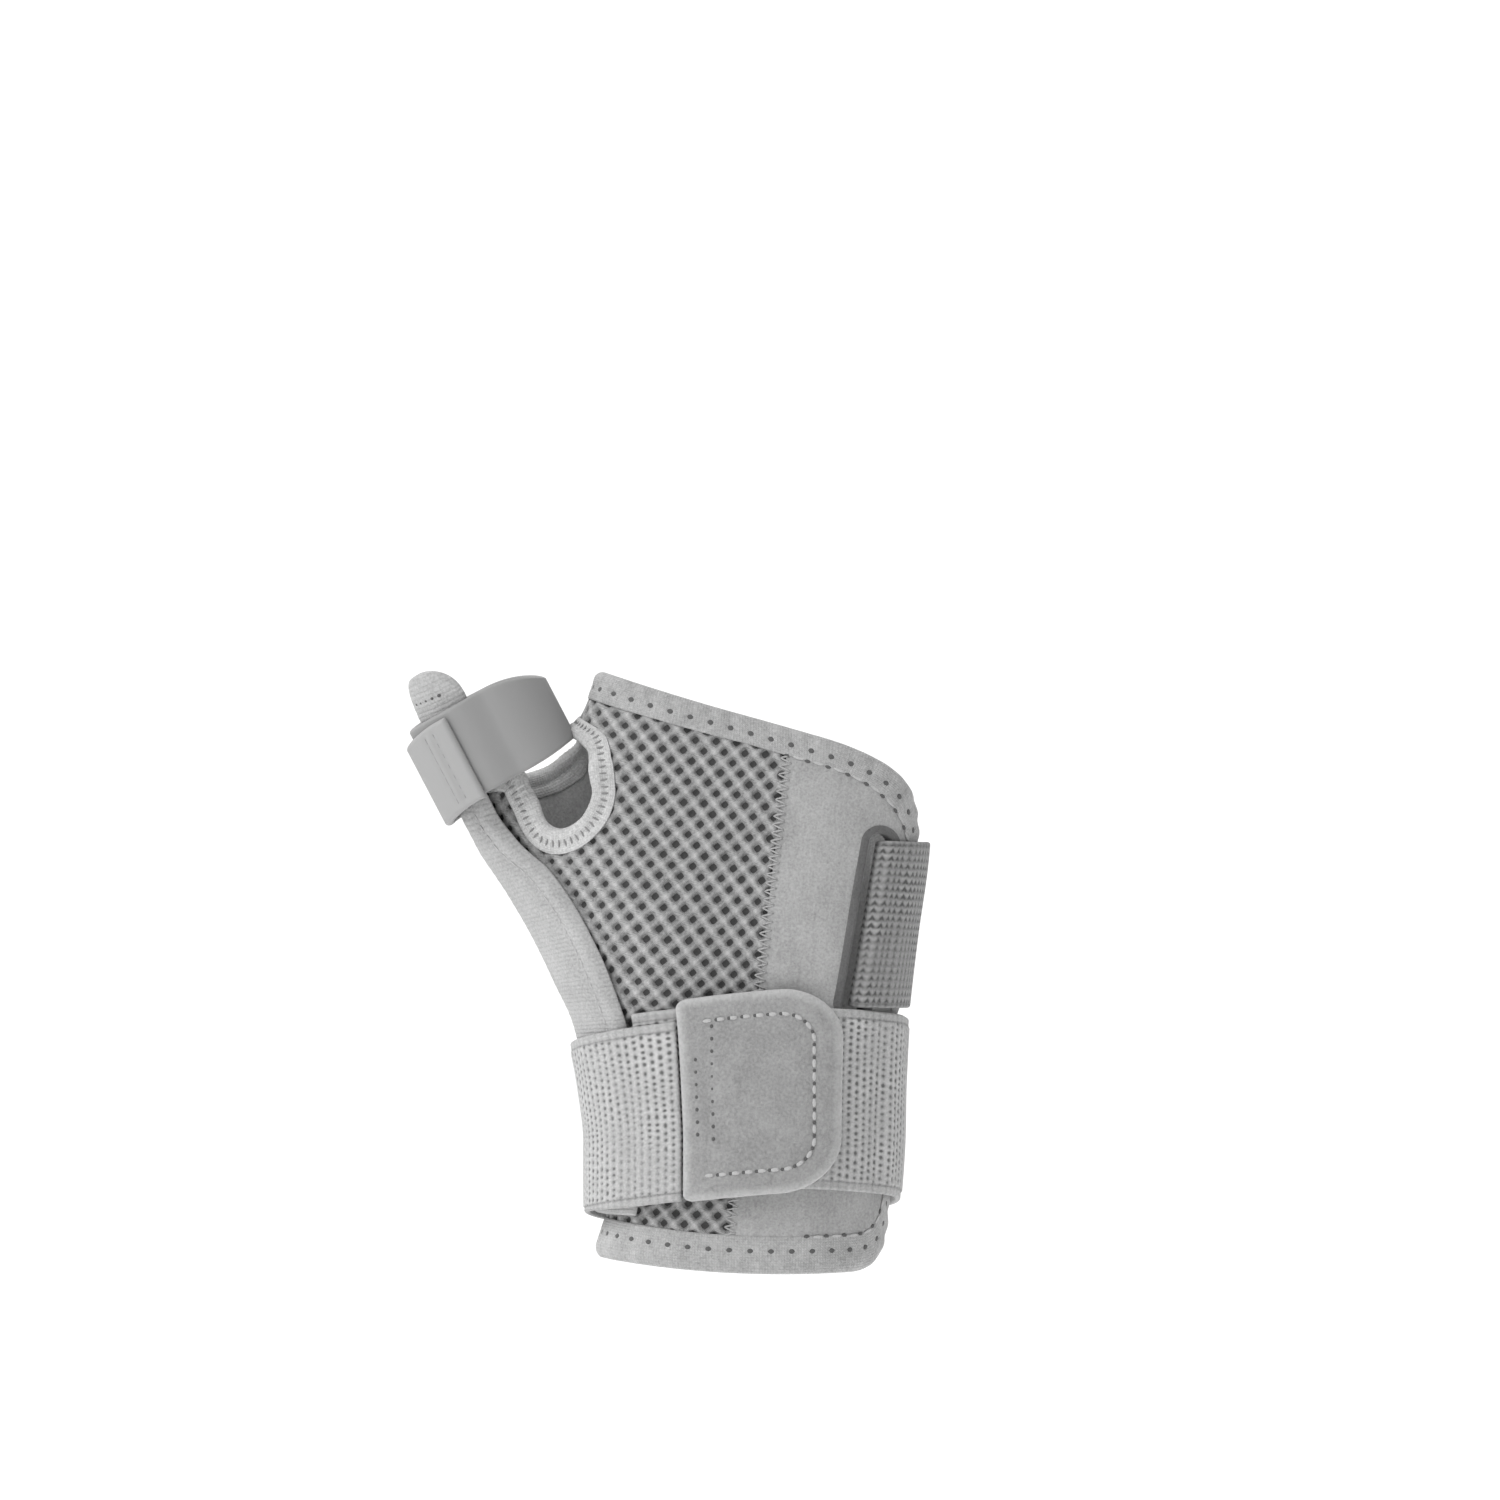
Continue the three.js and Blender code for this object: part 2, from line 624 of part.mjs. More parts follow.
// A ribbon between a low and a high edge, whose path is given as lifts and as turns that depend on the
// height.
function ribbon(path, thickness, lowAt, highAt) {
  const stations = path.map((place, i) => {
    const before = path[Math.max(0, i - 1)];
    const after = path[Math.min(path.length - 1, i + 1)];
    const point = (share, half) => {
      const z = lerp(lowAt(place), highAt(place), share);
      const perDegree = formFrame(place.turnAt(z), z).round.length();
      const along = new THREE.Vector2(
        (after.turnAt(z) - before.turnAt(z)) * perDegree,
        after.lift - before.lift,
      );
      const across = new THREE.Vector2(-along.y, along.x).normalize();
      return above(place.turnAt(z) + (across.x * half) / perDegree, z, place.lift + across.y * half);
    };
    return {
      outer: steps(FACETS.strapRows).map((share) => point(share, thickness / 2)),
      inner: steps(FACETS.strapRows).map((share) => point(share, -thickness / 2)),
    };
  });
  return loft(stations);
}

// The webbing comes from the back, over the little-finger edge, folds in through the slot and ends behind
// its bar.
function handStrap() {
  const foldLift = BODY_CLOTH / 2;
  const foldRadius = BODY_CLOTH / 2 + GAP + WEBBING / 2;
  const barX = (z) =>
    THREE.MathUtils.mapLinear(z, SLOT.bottomZ, SLOT.topZ, SLOT.bottomX, SLOT.topX) + SLOT.opening / 2;
  const barTurn = (z) => palmTurn(barX(z), z);
  const perDegree = formFrame(barTurn(HAND_STRAP.foldZ), HAND_STRAP.foldZ).round.length();
  const backTurn = 360 + HAND_STRAP.backTurn;
  const outerRun = steps(FACETS.handStrap).map((s) => {
    const turnAt = (z) => lerp(backTurn, barTurn(z), s);
    return { turnAt, lift: foldLift + foldRadius + edgeRise(turnAt(HAND_STRAP.foldZ)) };
  });
  const fold = [0.17, 0.33, 0.5, 0.67, 0.83, 1].map((s) => ({
    turnAt: (z) => barTurn(z) - (foldRadius * Math.sin(s * Math.PI) + HAND_STRAP.slack) / perDegree,
    lift: foldLift + foldRadius * Math.cos(s * Math.PI),
  }));
  const tail = [0.5, 1].map((s) => ({
    turnAt: (z) => barTurn(z) + (s * HAND_STRAP.tuck) / perDegree,
    lift: foldLift - foldRadius,
  }));
  const lowAt = () => HAND_STRAP.lowZ;
  const highAt = () => HAND_STRAP.highZ;
  return ribbon([...outerRun, ...fold, ...tail], WEBBING, lowAt, highAt);
}

// The wrist strap and its tab

// Middle height of the strap's plane at a turn.
function strapMiddle(turn) {
  const { x, y } = formPoint(turn, WRIST_STRAP.middle);
  return WRIST_STRAP.middle + WRIST_STRAP.riseX * x + WRIST_STRAP.riseY * y;
}

// Extra height of the strap's second layer where it crosses the sleeve.
function sleeveRise(turn) {
  const { back, front, pad } = sleeveAt(0);
  const fromTurn = 360 + turnBeside(0, back);
  const toTurn = 360 + turnBeside(0, front);
  const share = THREE.MathUtils.mapLinear(turn, fromTurn, toTurn, -1, 1);
  return Math.abs(share) < 1 ? sleeveThickness(pad, share) - SLEEVE_EDGE : 0;
}

function wristStrap() {
  const tabTurn = palmTurn(WRIST_TAB.leftX, 0);
  const endTurn = 360 + tabTurn - GAP / formFrame(tabTurn, 0).round.length();
  const sleeveTurn = 360 + turnBeside(0, sleeveAt(0).back);
  const secondLayer = OVER_STRAP + 1.5 * GAP;
  const liftAt = (turn) => {
    const layer = lerp(OVER_BODY, secondLayer, ease(turn, sleeveTurn - 20, sleeveTurn - 3));
    return layer + WEBBING / 2 + sleeveRise(turn) + edgeRise(turn);
  };
  const path = steps(FACETS.wristStrap).map((s) => {
    const turn = lerp(WRIST_STRAP.startTurn, endTurn, s);
    return { turn, turnAt: () => turn, lift: liftAt(turn) };
  });
  const { lift, fromTurn, levelTurn } = STRAP_START;
  const raised = ({ turn }) => lift * (1 - ease(turn, fromTurn, levelTurn));
  const middle = (place) => strapMiddle(place.turn) + raised(place);
  const lowAt = (place) => middle(place) - WRIST_STRAP.width / 2;
  const highAt = (place) => middle(place) + WRIST_STRAP.width / 2;
  return ribbon(path, WEBBING, lowAt, highAt);
}

function wristTab() {
  const corner = WRIST_TAB.corner;
  const cornerX = WRIST_TAB.rightX - corner;
  const straight = steps(6).map((s) => lerp(WRIST_TAB.leftX, cornerX, s));
  const round = steps(7).slice(1).map((s) => cornerX + corner * Math.sin((s * Math.PI) / 2.06));
  const places = [...straight, ...round].map((x) => {
    const turn = palmTurn(x, 0);
    const into = Math.max(0, (x - cornerX) / corner);
    const half = WRIST_TAB.height / 2 - corner * quarterDrop(into);
    const middle = strapMiddle(turn) + WRIST_TAB.rise + WRIST_TAB.slope * x;
    return steps(6).map((share) => ({ turn, z: middle + half * (2 * share - 1) }));
  });
  return wall(places, OVER_STRAP, OVER_STRAP + TAB_CLOTH);
}

// The thumb

const thumbGroup = new THREE.Group();
thumbGroup.position.set(THUMB.x, THUMB.y, THUMB.z);
thumbGroup.rotation.set(THUMB.forwardDeg * DEGREE, -THUMB.leanDeg * DEGREE, 0);
thumbGroup.updateMatrix();

// A point in the thumb's own frame: along its length, at a turn and a distance from its middle.
function thumbPoint(turn, height, radius) {
  return new THREE.Vector3(radius * Math.cos(turn * DEGREE), radius * Math.sin(turn * DEGREE), height);
}

// How far the strap stands off the thumb: it rides up over the sleeve on the outside of the thumb.
function thumbStandOff(turn) {
  const { risesFrom, risesBy, fallsFrom, fallsBy, clearance } = OVER_SLEEVE;
  const sleeve = ease(turn, risesFrom, risesBy) * (1 - ease(turn, fallsFrom, fallsBy));
  return (sleeveAt(THUMB.z).pad + clearance) * sleeve;
}

function thumbStrap() {
  const turns = steps(FACETS.thumbStrap).slice(0, -1).map((s) => 360 * s);
  const stations = turns.map((turn) => {
    const front = Math.max(0, -Math.sin(turn * DEGREE));
    const back = Math.max(0, Math.sin(turn * DEGREE));
    const inward = Math.max(0, Math.cos(turn * DEGREE)) ** 2;
    const { frontRise, backRise, inwardRise, inwardFall } = THUMB_STRAP;
    const low = THUMB_STRAP.low + 0.5 * frontRise * front + backRise * back + inwardRise * inward;
    const high = THUMB_STRAP.high + frontRise * front - inwardFall * inward;
    const radius = THUMB.radius + GAP + thumbStandOff(turn) - THUMB.flatter * inward;
    const row = (r) => steps(2).map((share) => thumbPoint(turn, lerp(low, high, share), r));
    return { outer: row(radius + WEBBING), inner: row(radius) };
  });
  return loft(stations, true);
}

function thumbTab() {
  const stations = steps(FACETS.thumbTab).map((s) => {
    const turn = lerp(THUMB_TAB.fromTurn, THUMB_TAB.toTurn, s);
    const fall = THUMB_TAB.fall * (1 - ease(turn, 170, THUMB_TAB.fromTurn));
    const radius = THUMB.radius + GAP + thumbStandOff(turn) + WEBBING + GAP;
    const row = (r) =>
      steps(3).map((share) => thumbPoint(turn, lerp(THUMB_TAB.low, THUMB_TAB.high, share) - fall, r));
    return { outer: row(radius + TAB_CLOTH), inner: row(radius) };
  });
  return loft(stations);
}

// The stay sleeve

function sleeveAt(z) {
  const column = (name) => columnAt(SLEEVE_SECTIONS, name, z);
  return { back: column("back"), front: column("front"), pad: column("pad") };
}

// Thickness across the sleeve, from its back edge (-1) over its crown to its front edge (1).
function sleeveThickness(pad, share) {
  return SLEEVE_EDGE + (pad - SLEEVE_EDGE) * (1 - Math.abs(share) ** 3);
}

// The turn at a distance round the arm from the thumb side.
function turnBeside(z, distance) {
  const count = Math.ceil(Math.abs(distance));
  let turn = 180;
  for (let i = 0; i < count; i++) turn += distance / count / formFrame(turn, z).round.length();
  return turn;
}

// Inner side of the sleeve at a height and a distance across it: on the wrap below, round the thumb above.
function sleeveBed(height, across) {
  const bodyZ = Math.min(height, BALL_TOP);
  const bodyLift = OVER_BODY + SLEEVE.slack + SLEEVE.overRim * ease(height, SLEEVE.rimFrom, SLEEVE.rimBy);
  const onBody = above(turnBeside(bodyZ, across), bodyZ, bodyLift);
  const sink = THUMB.radius * Math.sin(THUMB.leanDeg * DEGREE);
  const along = (height - THUMB.z + sink) / Math.cos(THUMB.leanDeg * DEGREE);
  const turn = 180 + across / (THUMB.radius * DEGREE);
  const onThumb = thumbPoint(turn, along, THUMB.radius).applyMatrix4(thumbGroup.matrix);
  const bed = onBody.lerp(onThumb, ease(height, SLEEVE.leavesFrom, SLEEVE.leavesBy));
  return clearOfWrap(bed, bodyLift);
}

// Moves a point beside the thumb's ball outwards in its own section until it has a clearance from the form.
function clearOfWrap(point, clearance) {
  const { reach, depth, power } = sectionAt(point.z, point.x, point.y);
  const level = (Math.abs(point.x / reach) ** power + Math.abs(point.y / depth) ** power) ** (1 / power);
  const ray = new THREE.Vector3(point.x, point.y, 0);
  const { from, by, until, gone } = SLEEVE_CLEARS;
  const short = SLEEVE_CLEARS.share * clearance - ray.length() * (1 - 1 / level);
  const share = ease(point.z, from, by) * (1 - ease(point.z, until, gone));
  return point.addScaledVector(ray.normalize(), Math.max(0, short) * share);
}

function staySleeve() {
  const bottomZ = SLEEVE_SECTIONS[0].z;
  const tipZ = SLEEVE_SECTIONS.at(-1).z;
  const tipFromZ = tipZ - SLEEVE.tip;
  const straight = steps(FACETS.sleeve).map((s) => lerp(bottomZ, tipFromZ, s));
  const round = steps(7).slice(1).map((s) => tipFromZ + SLEEVE.tip * Math.sin((s * Math.PI) / 2.08));
  const shares = [-1, -0.88, -0.6, -0.2, 0.2, 0.6, 0.88, 1];
  const stations = [...straight, ...round].map((height) => {
    const { back, front, pad } = sleeveAt(height);
    const into = Math.max(0, (height - tipFromZ) / SLEEVE.tip);
    const half = ((front - back) / 2) * (1 - into ** 2.2) ** (1 / 2.2);
    const across = (share) => (back + front) / 2 + share * half;
    const bed = (share) => sleeveBed(height, across(share));
    const lifted = (share) => {
      const side = sleeveBed(height, across(share) + 0.1).sub(sleeveBed(height, across(share) - 0.1));
      const up = sleeveBed(height + 0.1, across(share)).sub(sleeveBed(height - 0.1, across(share)));
      return bed(share).addScaledVector(side.cross(up).normalize(), sleeveThickness(pad, share));
    };
    return { outer: shares.map(lifted), inner: shares.map(bed) };
  });
  return loft(stations);
}

// Materials and assembly

const cloth = (color, roughness) => new THREE.MeshStandardMaterial({ color, roughness, metalness: 0 });
const meshCloth = cloth(0x7c7c7c, 0.95);
const plainCloth = cloth(0xa8a8a8, 0.9);
const bindingCloth = cloth(0xb9b9b9, 0.88);
const sleeveCloth = cloth(0xc2c2c2, 0.9);
const loopCloth = cloth(0x969696, 0.92);
const ribbedWebbing = cloth(0x8a8a8a, 0.9);
const elasticWebbing = cloth(0xb4b4b4, 0.9);
const tabCloth = cloth(0xa2a2a2, 0.92);

function piece(name, geometry, material) {
  geometry.computeVertexNormals();
  const mesh = new THREE.Mesh(geometry, material);
  mesh.name = name;
  return mesh;
}

const brace = new THREE.Group();
brace.add(
  piece("mesh_panel", meshPanel(), meshCloth),
  piece("palm_panel", palmPanel(), plainCloth),
  piece("back_panel", backPanel(), plainCloth),
  piece("palm_binding", edgeBinding(PALM_OUTLINE), bindingCloth),
  piece("back_binding", edgeBinding(BACK_OUTLINE), bindingCloth),
  piece("thumb_binding", thumbBinding(), bindingCloth),
  piece("slot_trim", slotTrim(), loopCloth),
  piece("hand_strap", handStrap(), ribbedWebbing),
  piece("wrist_strap", wristStrap(), elasticWebbing),
  piece("wrist_tab", wristTab(), tabCloth),
  piece("stay_sleeve", staySleeve(), sleeveCloth),
);
thumbGroup.add(
  piece("thumb_strap", thumbStrap(), loopCloth),
  piece("thumb_tab", thumbTab(), sleeveCloth),
);
brace.add(thumbGroup);

export default brace;
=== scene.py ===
"""Dresses the wrist and thumb brace with its cloth, webbing, mesh and stitches.

Each piece is worked out in millimetres on the form of the hand that wears the brace, as the solids are,
and goes into its mesh in metres. Turns are degrees round the arm: 0 little-finger side, 90 back,
180 thumb side, 270 palm. A lift is a height above the skin side of the wrap.
"""

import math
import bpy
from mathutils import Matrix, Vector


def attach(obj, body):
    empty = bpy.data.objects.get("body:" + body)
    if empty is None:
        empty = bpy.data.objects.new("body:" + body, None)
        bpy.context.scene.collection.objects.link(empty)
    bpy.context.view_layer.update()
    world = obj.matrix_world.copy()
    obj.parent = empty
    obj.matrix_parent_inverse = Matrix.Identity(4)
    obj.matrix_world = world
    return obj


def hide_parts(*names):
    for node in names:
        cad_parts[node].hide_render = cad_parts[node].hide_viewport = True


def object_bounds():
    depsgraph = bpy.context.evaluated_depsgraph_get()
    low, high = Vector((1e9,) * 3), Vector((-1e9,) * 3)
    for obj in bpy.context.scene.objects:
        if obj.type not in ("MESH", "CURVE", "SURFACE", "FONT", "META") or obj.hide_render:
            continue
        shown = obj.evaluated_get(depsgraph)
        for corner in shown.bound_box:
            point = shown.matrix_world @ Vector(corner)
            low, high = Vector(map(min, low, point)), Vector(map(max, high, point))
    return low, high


bl_info = {
    "name": "Wrist and thumb brace",
    "version": (1, 0, 0),
    "blender": (4, 5, 0),
    "location": "3D View > Sidebar > Brace",
    "description": "Makes the cloth, straps and stitches of a wrist and thumb brace round its solids",
    "category": "Object",
}

from collections import namedtuple
from types import SimpleNamespace

import bpy
import numpy as np
from bpy.props import FloatProperty, FloatVectorProperty, IntProperty, PointerProperty
from mathutils import Vector

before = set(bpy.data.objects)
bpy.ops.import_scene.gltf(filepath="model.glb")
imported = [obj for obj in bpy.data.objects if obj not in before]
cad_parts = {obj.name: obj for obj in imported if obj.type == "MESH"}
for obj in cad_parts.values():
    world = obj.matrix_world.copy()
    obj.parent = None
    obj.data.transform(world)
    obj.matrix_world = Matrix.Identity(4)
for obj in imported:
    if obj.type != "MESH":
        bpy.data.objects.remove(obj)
SOLID_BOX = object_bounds()
BODY = "root"
MM = 0.001

# Cloth thicknesses, clearances and the lifts at which each layer starts, in millimetres
GAP = 0.3
BODY_CLOTH = 2.4
BINDING_FOLD = 0.5
WEBBING = 1.6
TAB_CLOTH = 2.2
SLEEVE_EDGE = 1.5
OVER_BODY = BODY_CLOTH + GAP
OVER_STRAP = OVER_BODY + WEBBING + GAP
OVER_FREE_EDGES = SimpleNamespace(from_turn=331, to_turn=406, blend=7, lift=1.15)

# Widths of the bound edges
Insets = namedtuple("Insets", "top side bottom")
BOUND = Insets(7.2, 6.0, 9.5)
RIM_BINDING = 6.5
NO_INSET = Insets(0, 0, 0)
UNDER_BINDING = Insets(*(width / 2 for width in BOUND))

# Sections of the hand form: how far the skin side of the wrap reaches each way, and how square it is
Section = namedtuple("Section", "z thumb_side little_side palm back square")
FORM = [
    Section(-48, 34.0, 32.0, 23.5, 22.5, 2.4),
    Section(-37, 33.8, 33.2, 23.2, 22.3, 2.4),
    Section(-24, 31.2, 34.0, 23.0, 22.0, 2.4),
    Section(-8, 31.2, 35.0, 22.7, 21.4, 2.4),
    Section(6, 32.8, 35.4, 22.3, 20.4, 2.4),
    Section(20, 35.5, 36.0, 22.0, 19.0, 2.4),
    Section(30, 38.6, 37.0, 21.9, 18.2, 2.4),
    Section(45, 45.2, 38.8, 21.5, 17.0, 2.4),
    Section(62, 55.0, 41.2, 20.5, 15.5, 2.4),
    Section(70, 60.0, 41.9, 19.8, 15.0, 2.5),
    Section(77, 63.2, 42.4, 19.0, 15.0, 2.6),
    Section(81, 63.8, 42.8, 18.4, 14.8, 2.7),
    Section(84, 62.0, 42.8, 18.0, 14.7, 2.8),
    Section(87, 57.0, 42.8, 17.6, 14.6, 2.9),
    Section(90, 49.0, 42.8, 17.3, 14.5, 3.0),
    Section(92.5, 43.0, 42.8, 17.0, 14.5, 3.1),
    Section(95, 39.8, 42.8, 16.7, 14.5, 3.15),
    Section(98, 37.8, 42.8, 16.3, 14.5, 3.2),
    Section(102, 36.0, 42.8, 15.9, 14.5, 3.2),
    Section(106, 34.3, 42.8, 15.5, 14.5, 3.2),
    Section(114, 31.5, 42.8, 15.0, 14.5, 3.2),
]
Bulge = namedtuple("Bulge", "x z reach_x reach_z height")
PALM_BULGES = [Bulge(-28, 44, 20, 26, 4.5), Bulge(25, 42, 15, 30, 3.0)]

# Outline of the wrap on each side, with quarter ellipses at the corners of its free edge
Outline = namedtuple(
    "Outline",
    "thumb_turn free_turn top_at_thumb top_fall top_corner_turn top_corner_drop"
    " bottom_low bottom_rise bottom_corner_turn bottom_corner_rise",
)
PALM_OUTLINE = Outline(180.04, 353, 109, 0.285, 296, 26, -40.6, 4.2, 318, 15)
BACK_OUTLINE = Outline(179.96, 28, 109, 0.31, 66, 22, -39.6, 3.2, 60, 15)
TOP_EDGE_FROM_X = -36
BOTTOM_LOW_AT_X = 10
BOTTOM_RISE_OVER_X = 46
PALM_SEAM = SimpleNamespace(low_x=-3, low_z=-30, high_x=11.5, high_z=92)

# Inner edge of the thumb hole, across the hand and up it, on the palm (-1) or the back (1)
Rim = namedtuple("Rim", "x z side")
THUMB_RIM = [
    Rim(-44.7, 70.5, -1),
    Rim(-39.4, 73.5, -1),
    Rim(-37.2, 80.0, -1),
    Rim(-38.0, 86.5, -1),
    Rim(-39.6, 90.6, -1),
    Rim(-70.0, 92.8, -1),
    Rim(-41.5, 90.0, 1),
    Rim(-47.5, 86.0, 1),
    Rim(-55.0, 83.6, 1),
    Rim(-70.0, 83.6, -1),
    Rim(-56.8, 85.4, -1),
    Rim(-53.2, 83.4, -1),
    Rim(-50.4, 77.6, -1),
    Rim(-48.0, 72.0, -1),
]

# Strap slot, straps and tabs
SLOT = SimpleNamespace(top_x=33.17, top_z=66.6, bottom_x=26.43, bottom_z=27.0, opening=5.0, facing=2.3)
SLOT_TOP = np.array([SLOT.top_x, SLOT.top_z])
SLOT_BOTTOM = np.array([SLOT.bottom_x, SLOT.bottom_z])
HAND_STRAP = SimpleNamespace(low_z=26.1, high_z=67.4, fold_z=45, back_turn=82, slack=0.2, tuck=5.5)
WRIST_STRAP = SimpleNamespace(width=45.5, middle=-2.2, rise_x=0.075, rise_y=-0.166, start_turn=228)
STRAP_START = SimpleNamespace(lift=3, from_turn=235, level_turn=330)
WRIST_TAB = SimpleNamespace(left_x=-13.6, right_x=22.5, height=51.0, rise=2.7, slope=0.02, corner=13)

# Thumb, its strap and tab, and the stay sleeve
THUMB = SimpleNamespace(x=-59.5, y=-6.0, z=95, lean=27.5, forward=5, radius=14.6, flatter=1.2)
THUMB_STRAP = SimpleNamespace(
    low=-11.5, high=10.6, front_rise=2.0, back_rise=4.0, inward_rise=1.6, inward_fall=3.6
)
OVER_SLEEVE = SimpleNamespace(rises_from=96, rises_by=138, falls_from=240, falls_by=272, clearance=1.5)
THUMB_TAB = SimpleNamespace(from_turn=242, to_turn=132, low=-11.4, high=11.0, fall=3.9, level_turn=170)
SleeveSection = namedtuple("SleeveSection", "z back front pad")
SLEEVE_SECTIONS = [
    SleeveSection(-26.4, -9.0, 19.0, 3.0),
    SleeveSection(10, -9.0, 20.2, 3.0),
    SleeveSection(24, -9.2, 21.2, 3.2),
    SleeveSection(36, -9.6, 21.4, 4.2),
    SleeveSection(48, -10.0, 20.0, 4.3),
    SleeveSection(60, -10.0, 16.8, 4.3),
    SleeveSection(68, -10.0, 13.2, 3.8),
    SleeveSection(76, -9.5, 10.8, 3.2),
    SleeveSection(84, -9.0, 10.0, 3.2),
    SleeveSection(98, -5.5, 18.4, 3.2),
    SleeveSection(108.6, -5.5, 18.4, 3.2),
]
SLEEVE = SimpleNamespace(
    tip=15, leaves_from=68, leaves_by=92, slack=0.35, over_rim=0.9, rim_from=58, rim_by=70
)
SLEEVE_CLEARS = SimpleNamespace(start=66, full=74, until=83, gone=91, share=1.25)
BALL_TOP = 81


# Settings that a user would change


def length(name, description, millimetres):
    return FloatProperty(
        name=name, description=description, default=millimetres * MM, min=0.0, unit="LENGTH", precision=5
    )


def grey(name, description, level):
    return FloatVectorProperty(
        name=name, description=description, default=(level,) * 3, min=0.0, max=1.0, subtype="COLOR", size=3
    )


class BraceColours(bpy.types.PropertyGroup):
    """Colours of the brace's cloths and threads."""

    strand: grey("Mesh strand", "Light strands of the spacer mesh", 0.31)
    # The near-black colour of the mesh holes' floors is painted shade deep in the holes.
    ground: grey("Mesh ground", "Dark ground behind the mesh", 0.055)
    plain: grey("Plain cloth", "Brushed cloth of the plain panels", 0.365)
    binding: grey("Binding", "Folded tape along the edges", 0.39)
    # The rim is bound like the edges; its grey, lighter than the binding's, is painted light that offsets the
    # shade on the rim.
    rim: grey("Rim", "Folded tape round the thumb hole", 0.53)
    sleeve: grey("Sleeve", "Padded sleeve up the thumb", 0.41)
    thumb_tab: grey("Thumb tab", "Brushed cloth of the thumb strap's tab", 0.38)
    loop: grey("Loop cloth", "Smooth cloth of the thumb strap", 0.22)
    # The facing's dark grey is painted shade of the slot's recess, darker than the facing cloth itself.
    facing: grey("Slot facing", "Facing inside the strap slot", 0.13)
    webbing: grey("Webbing", "Ribbed webbing over the little-finger edge", 0.28)
    elastic: grey("Elastic", "Rib-knit elastic round the wrist", 0.45)
    tab: grey("Tab cloth", "Fleecy cloth of the wrist strap's tab", 0.322)
    light_thread: grey("Light thread", "Thread of the visible stitches", 0.48)
    rim_thread: grey("Rim thread", "Thread across the thumb hole's rim", 0.25)
    seam_thread: grey("Seam thread", "Thread over the seam of the palm", 0.4)
    # Needle holes are near-black dots: painted shade in the holes.
    dark_thread: grey("Dark thread", "Thread and needle holes that read dark", 0.1)


class BraceSizes(bpy.types.PropertyGroup):
    """Sizes of the brace's weave, mesh and stitches."""

    mesh_pitch: length("Mesh pitch", "Distance between mesh holes in a row", 5.1)
    mesh_row: length("Mesh row", "Distance between rows of mesh holes", 2.72)
    mesh_slip: length("Mesh slip", "How far each row of mesh holes is set over from the one above", 2.05)
    mesh_depth: length("Mesh depth", "Depth of a mesh hole", 0.9)
    mesh_hole: FloatProperty(
        name="Mesh hole", description="Width of a hole as a share of its cell", default=0.76, subtype="FACTOR"
    )
    edge_stitch: length("Edge stitch", "Length of a stitch along the bound edges", 5.2)
    rim_stitch: length("Rim stitch", "Distance between the short stitches round the thumb hole", 1.7)
    tab_stitch: length("Tab stitch", "Distance between the stitches of the wrist tab", 3.3)
    thread: length("Thread", "Thickness of the thread", 0.55)
    rib: length("Rib", "Distance between the ribs of the webbing", 1.85)
    knit_length: length("Knit length", "Length of a loop of the elastic along the strap", 2.1)
    knit_width: length("Knit width", "Width of a loop of the elastic across the strap", 1.8)
    knit_depth: length("Knit depth", "Height of a loop of the elastic", 0.34)


class BraceStage(bpy.types.PropertyGroup):
    """The floor, lights and camera."""

    view_width: length("View width", "Width of the picture at the brace", 375)
    view_x: FloatProperty(name="View X", description="Middle of the picture", default=0.002, unit="LENGTH")
    view_z: FloatProperty(name="View Z", description="Middle of the picture", default=0.090, unit="LENGTH")
    distance: length("Distance", "From the camera to the brace", 6000)
    key: FloatProperty(name="Key light", description="Soft light from the left", default=7.2, unit="POWER")
    sun: FloatProperty(name="Top light", description="Soft light from above", default=0.95, min=0.0)
    sky: FloatProperty(name="Sky", description="Brightness behind the brace", default=1.12, min=0.0)
    dim: FloatProperty(name="Dim sky", description="Least brightness before the brace", default=0.38, min=0.0)
    floor_samples: IntProperty(name="Floor sides", description="Sides of the floor disc", default=96, min=8)


# The hand form

FINE_TURN = 0.05
FINE_Z = 0.02
BISECTIONS = 36
WALK_STEP = 1.5


def spread_out(*values):
    """Numbers and arrays as arrays of one shape."""
    return np.broadcast_arrays(*(np.asarray(value, float) for value in values))


def unit(vectors):
    return vectors / np.linalg.norm(vectors, axis=-1, keepdims=True)


def lerp(a, b, share):
    return a + (b - a) * share


def ease(value, start, end):
    share = np.clip((np.asarray(value, float) - start) / (end - start), 0, 1)
    return share * share * (3 - 2 * share)


def bell(distance, reach):
    return np.exp(-((distance / reach) ** 2))


def column(rows, name):
    """A table's column as a function of height: a cubic that never overshoots its rows."""
    heights = np.array([row.z for row in rows], float)
    values = np.array([getattr(row, name) for row in rows], float)
    grades = np.diff(values) / np.diff(heights)
    before, after = grades[:-1], grades[1:]
    same_way = before * after > 0
    harmonic = 2 * before * after / np.where(same_way, before + after, 1)
    slopes = np.concatenate([grades[:1], np.where(same_way, harmonic, 0), grades[-1:]])

    def at(z):
        z = np.asarray(z, float)
        i = np.clip(np.searchsorted(heights, z, side="right") - 1, 0, len(heights) - 2)
        span = heights[i + 1] - heights[i]
        t = (z - heights[i]) / span
        ends = values[i] * (1 + 2 * t) * (1 - t) ** 2 + values[i + 1] * t * t * (3 - 2 * t)
        return ends + slopes[i] * span * t * (1 - t) ** 2 + slopes[i + 1] * span * t * t * (t - 1)

    return at


REACH = {name: column(FORM, name) for name in Section._fields[1:]}
SLEEVE_AT = {name: column(SLEEVE_SECTIONS, name) for name in SleeveSection._fields[1:]}


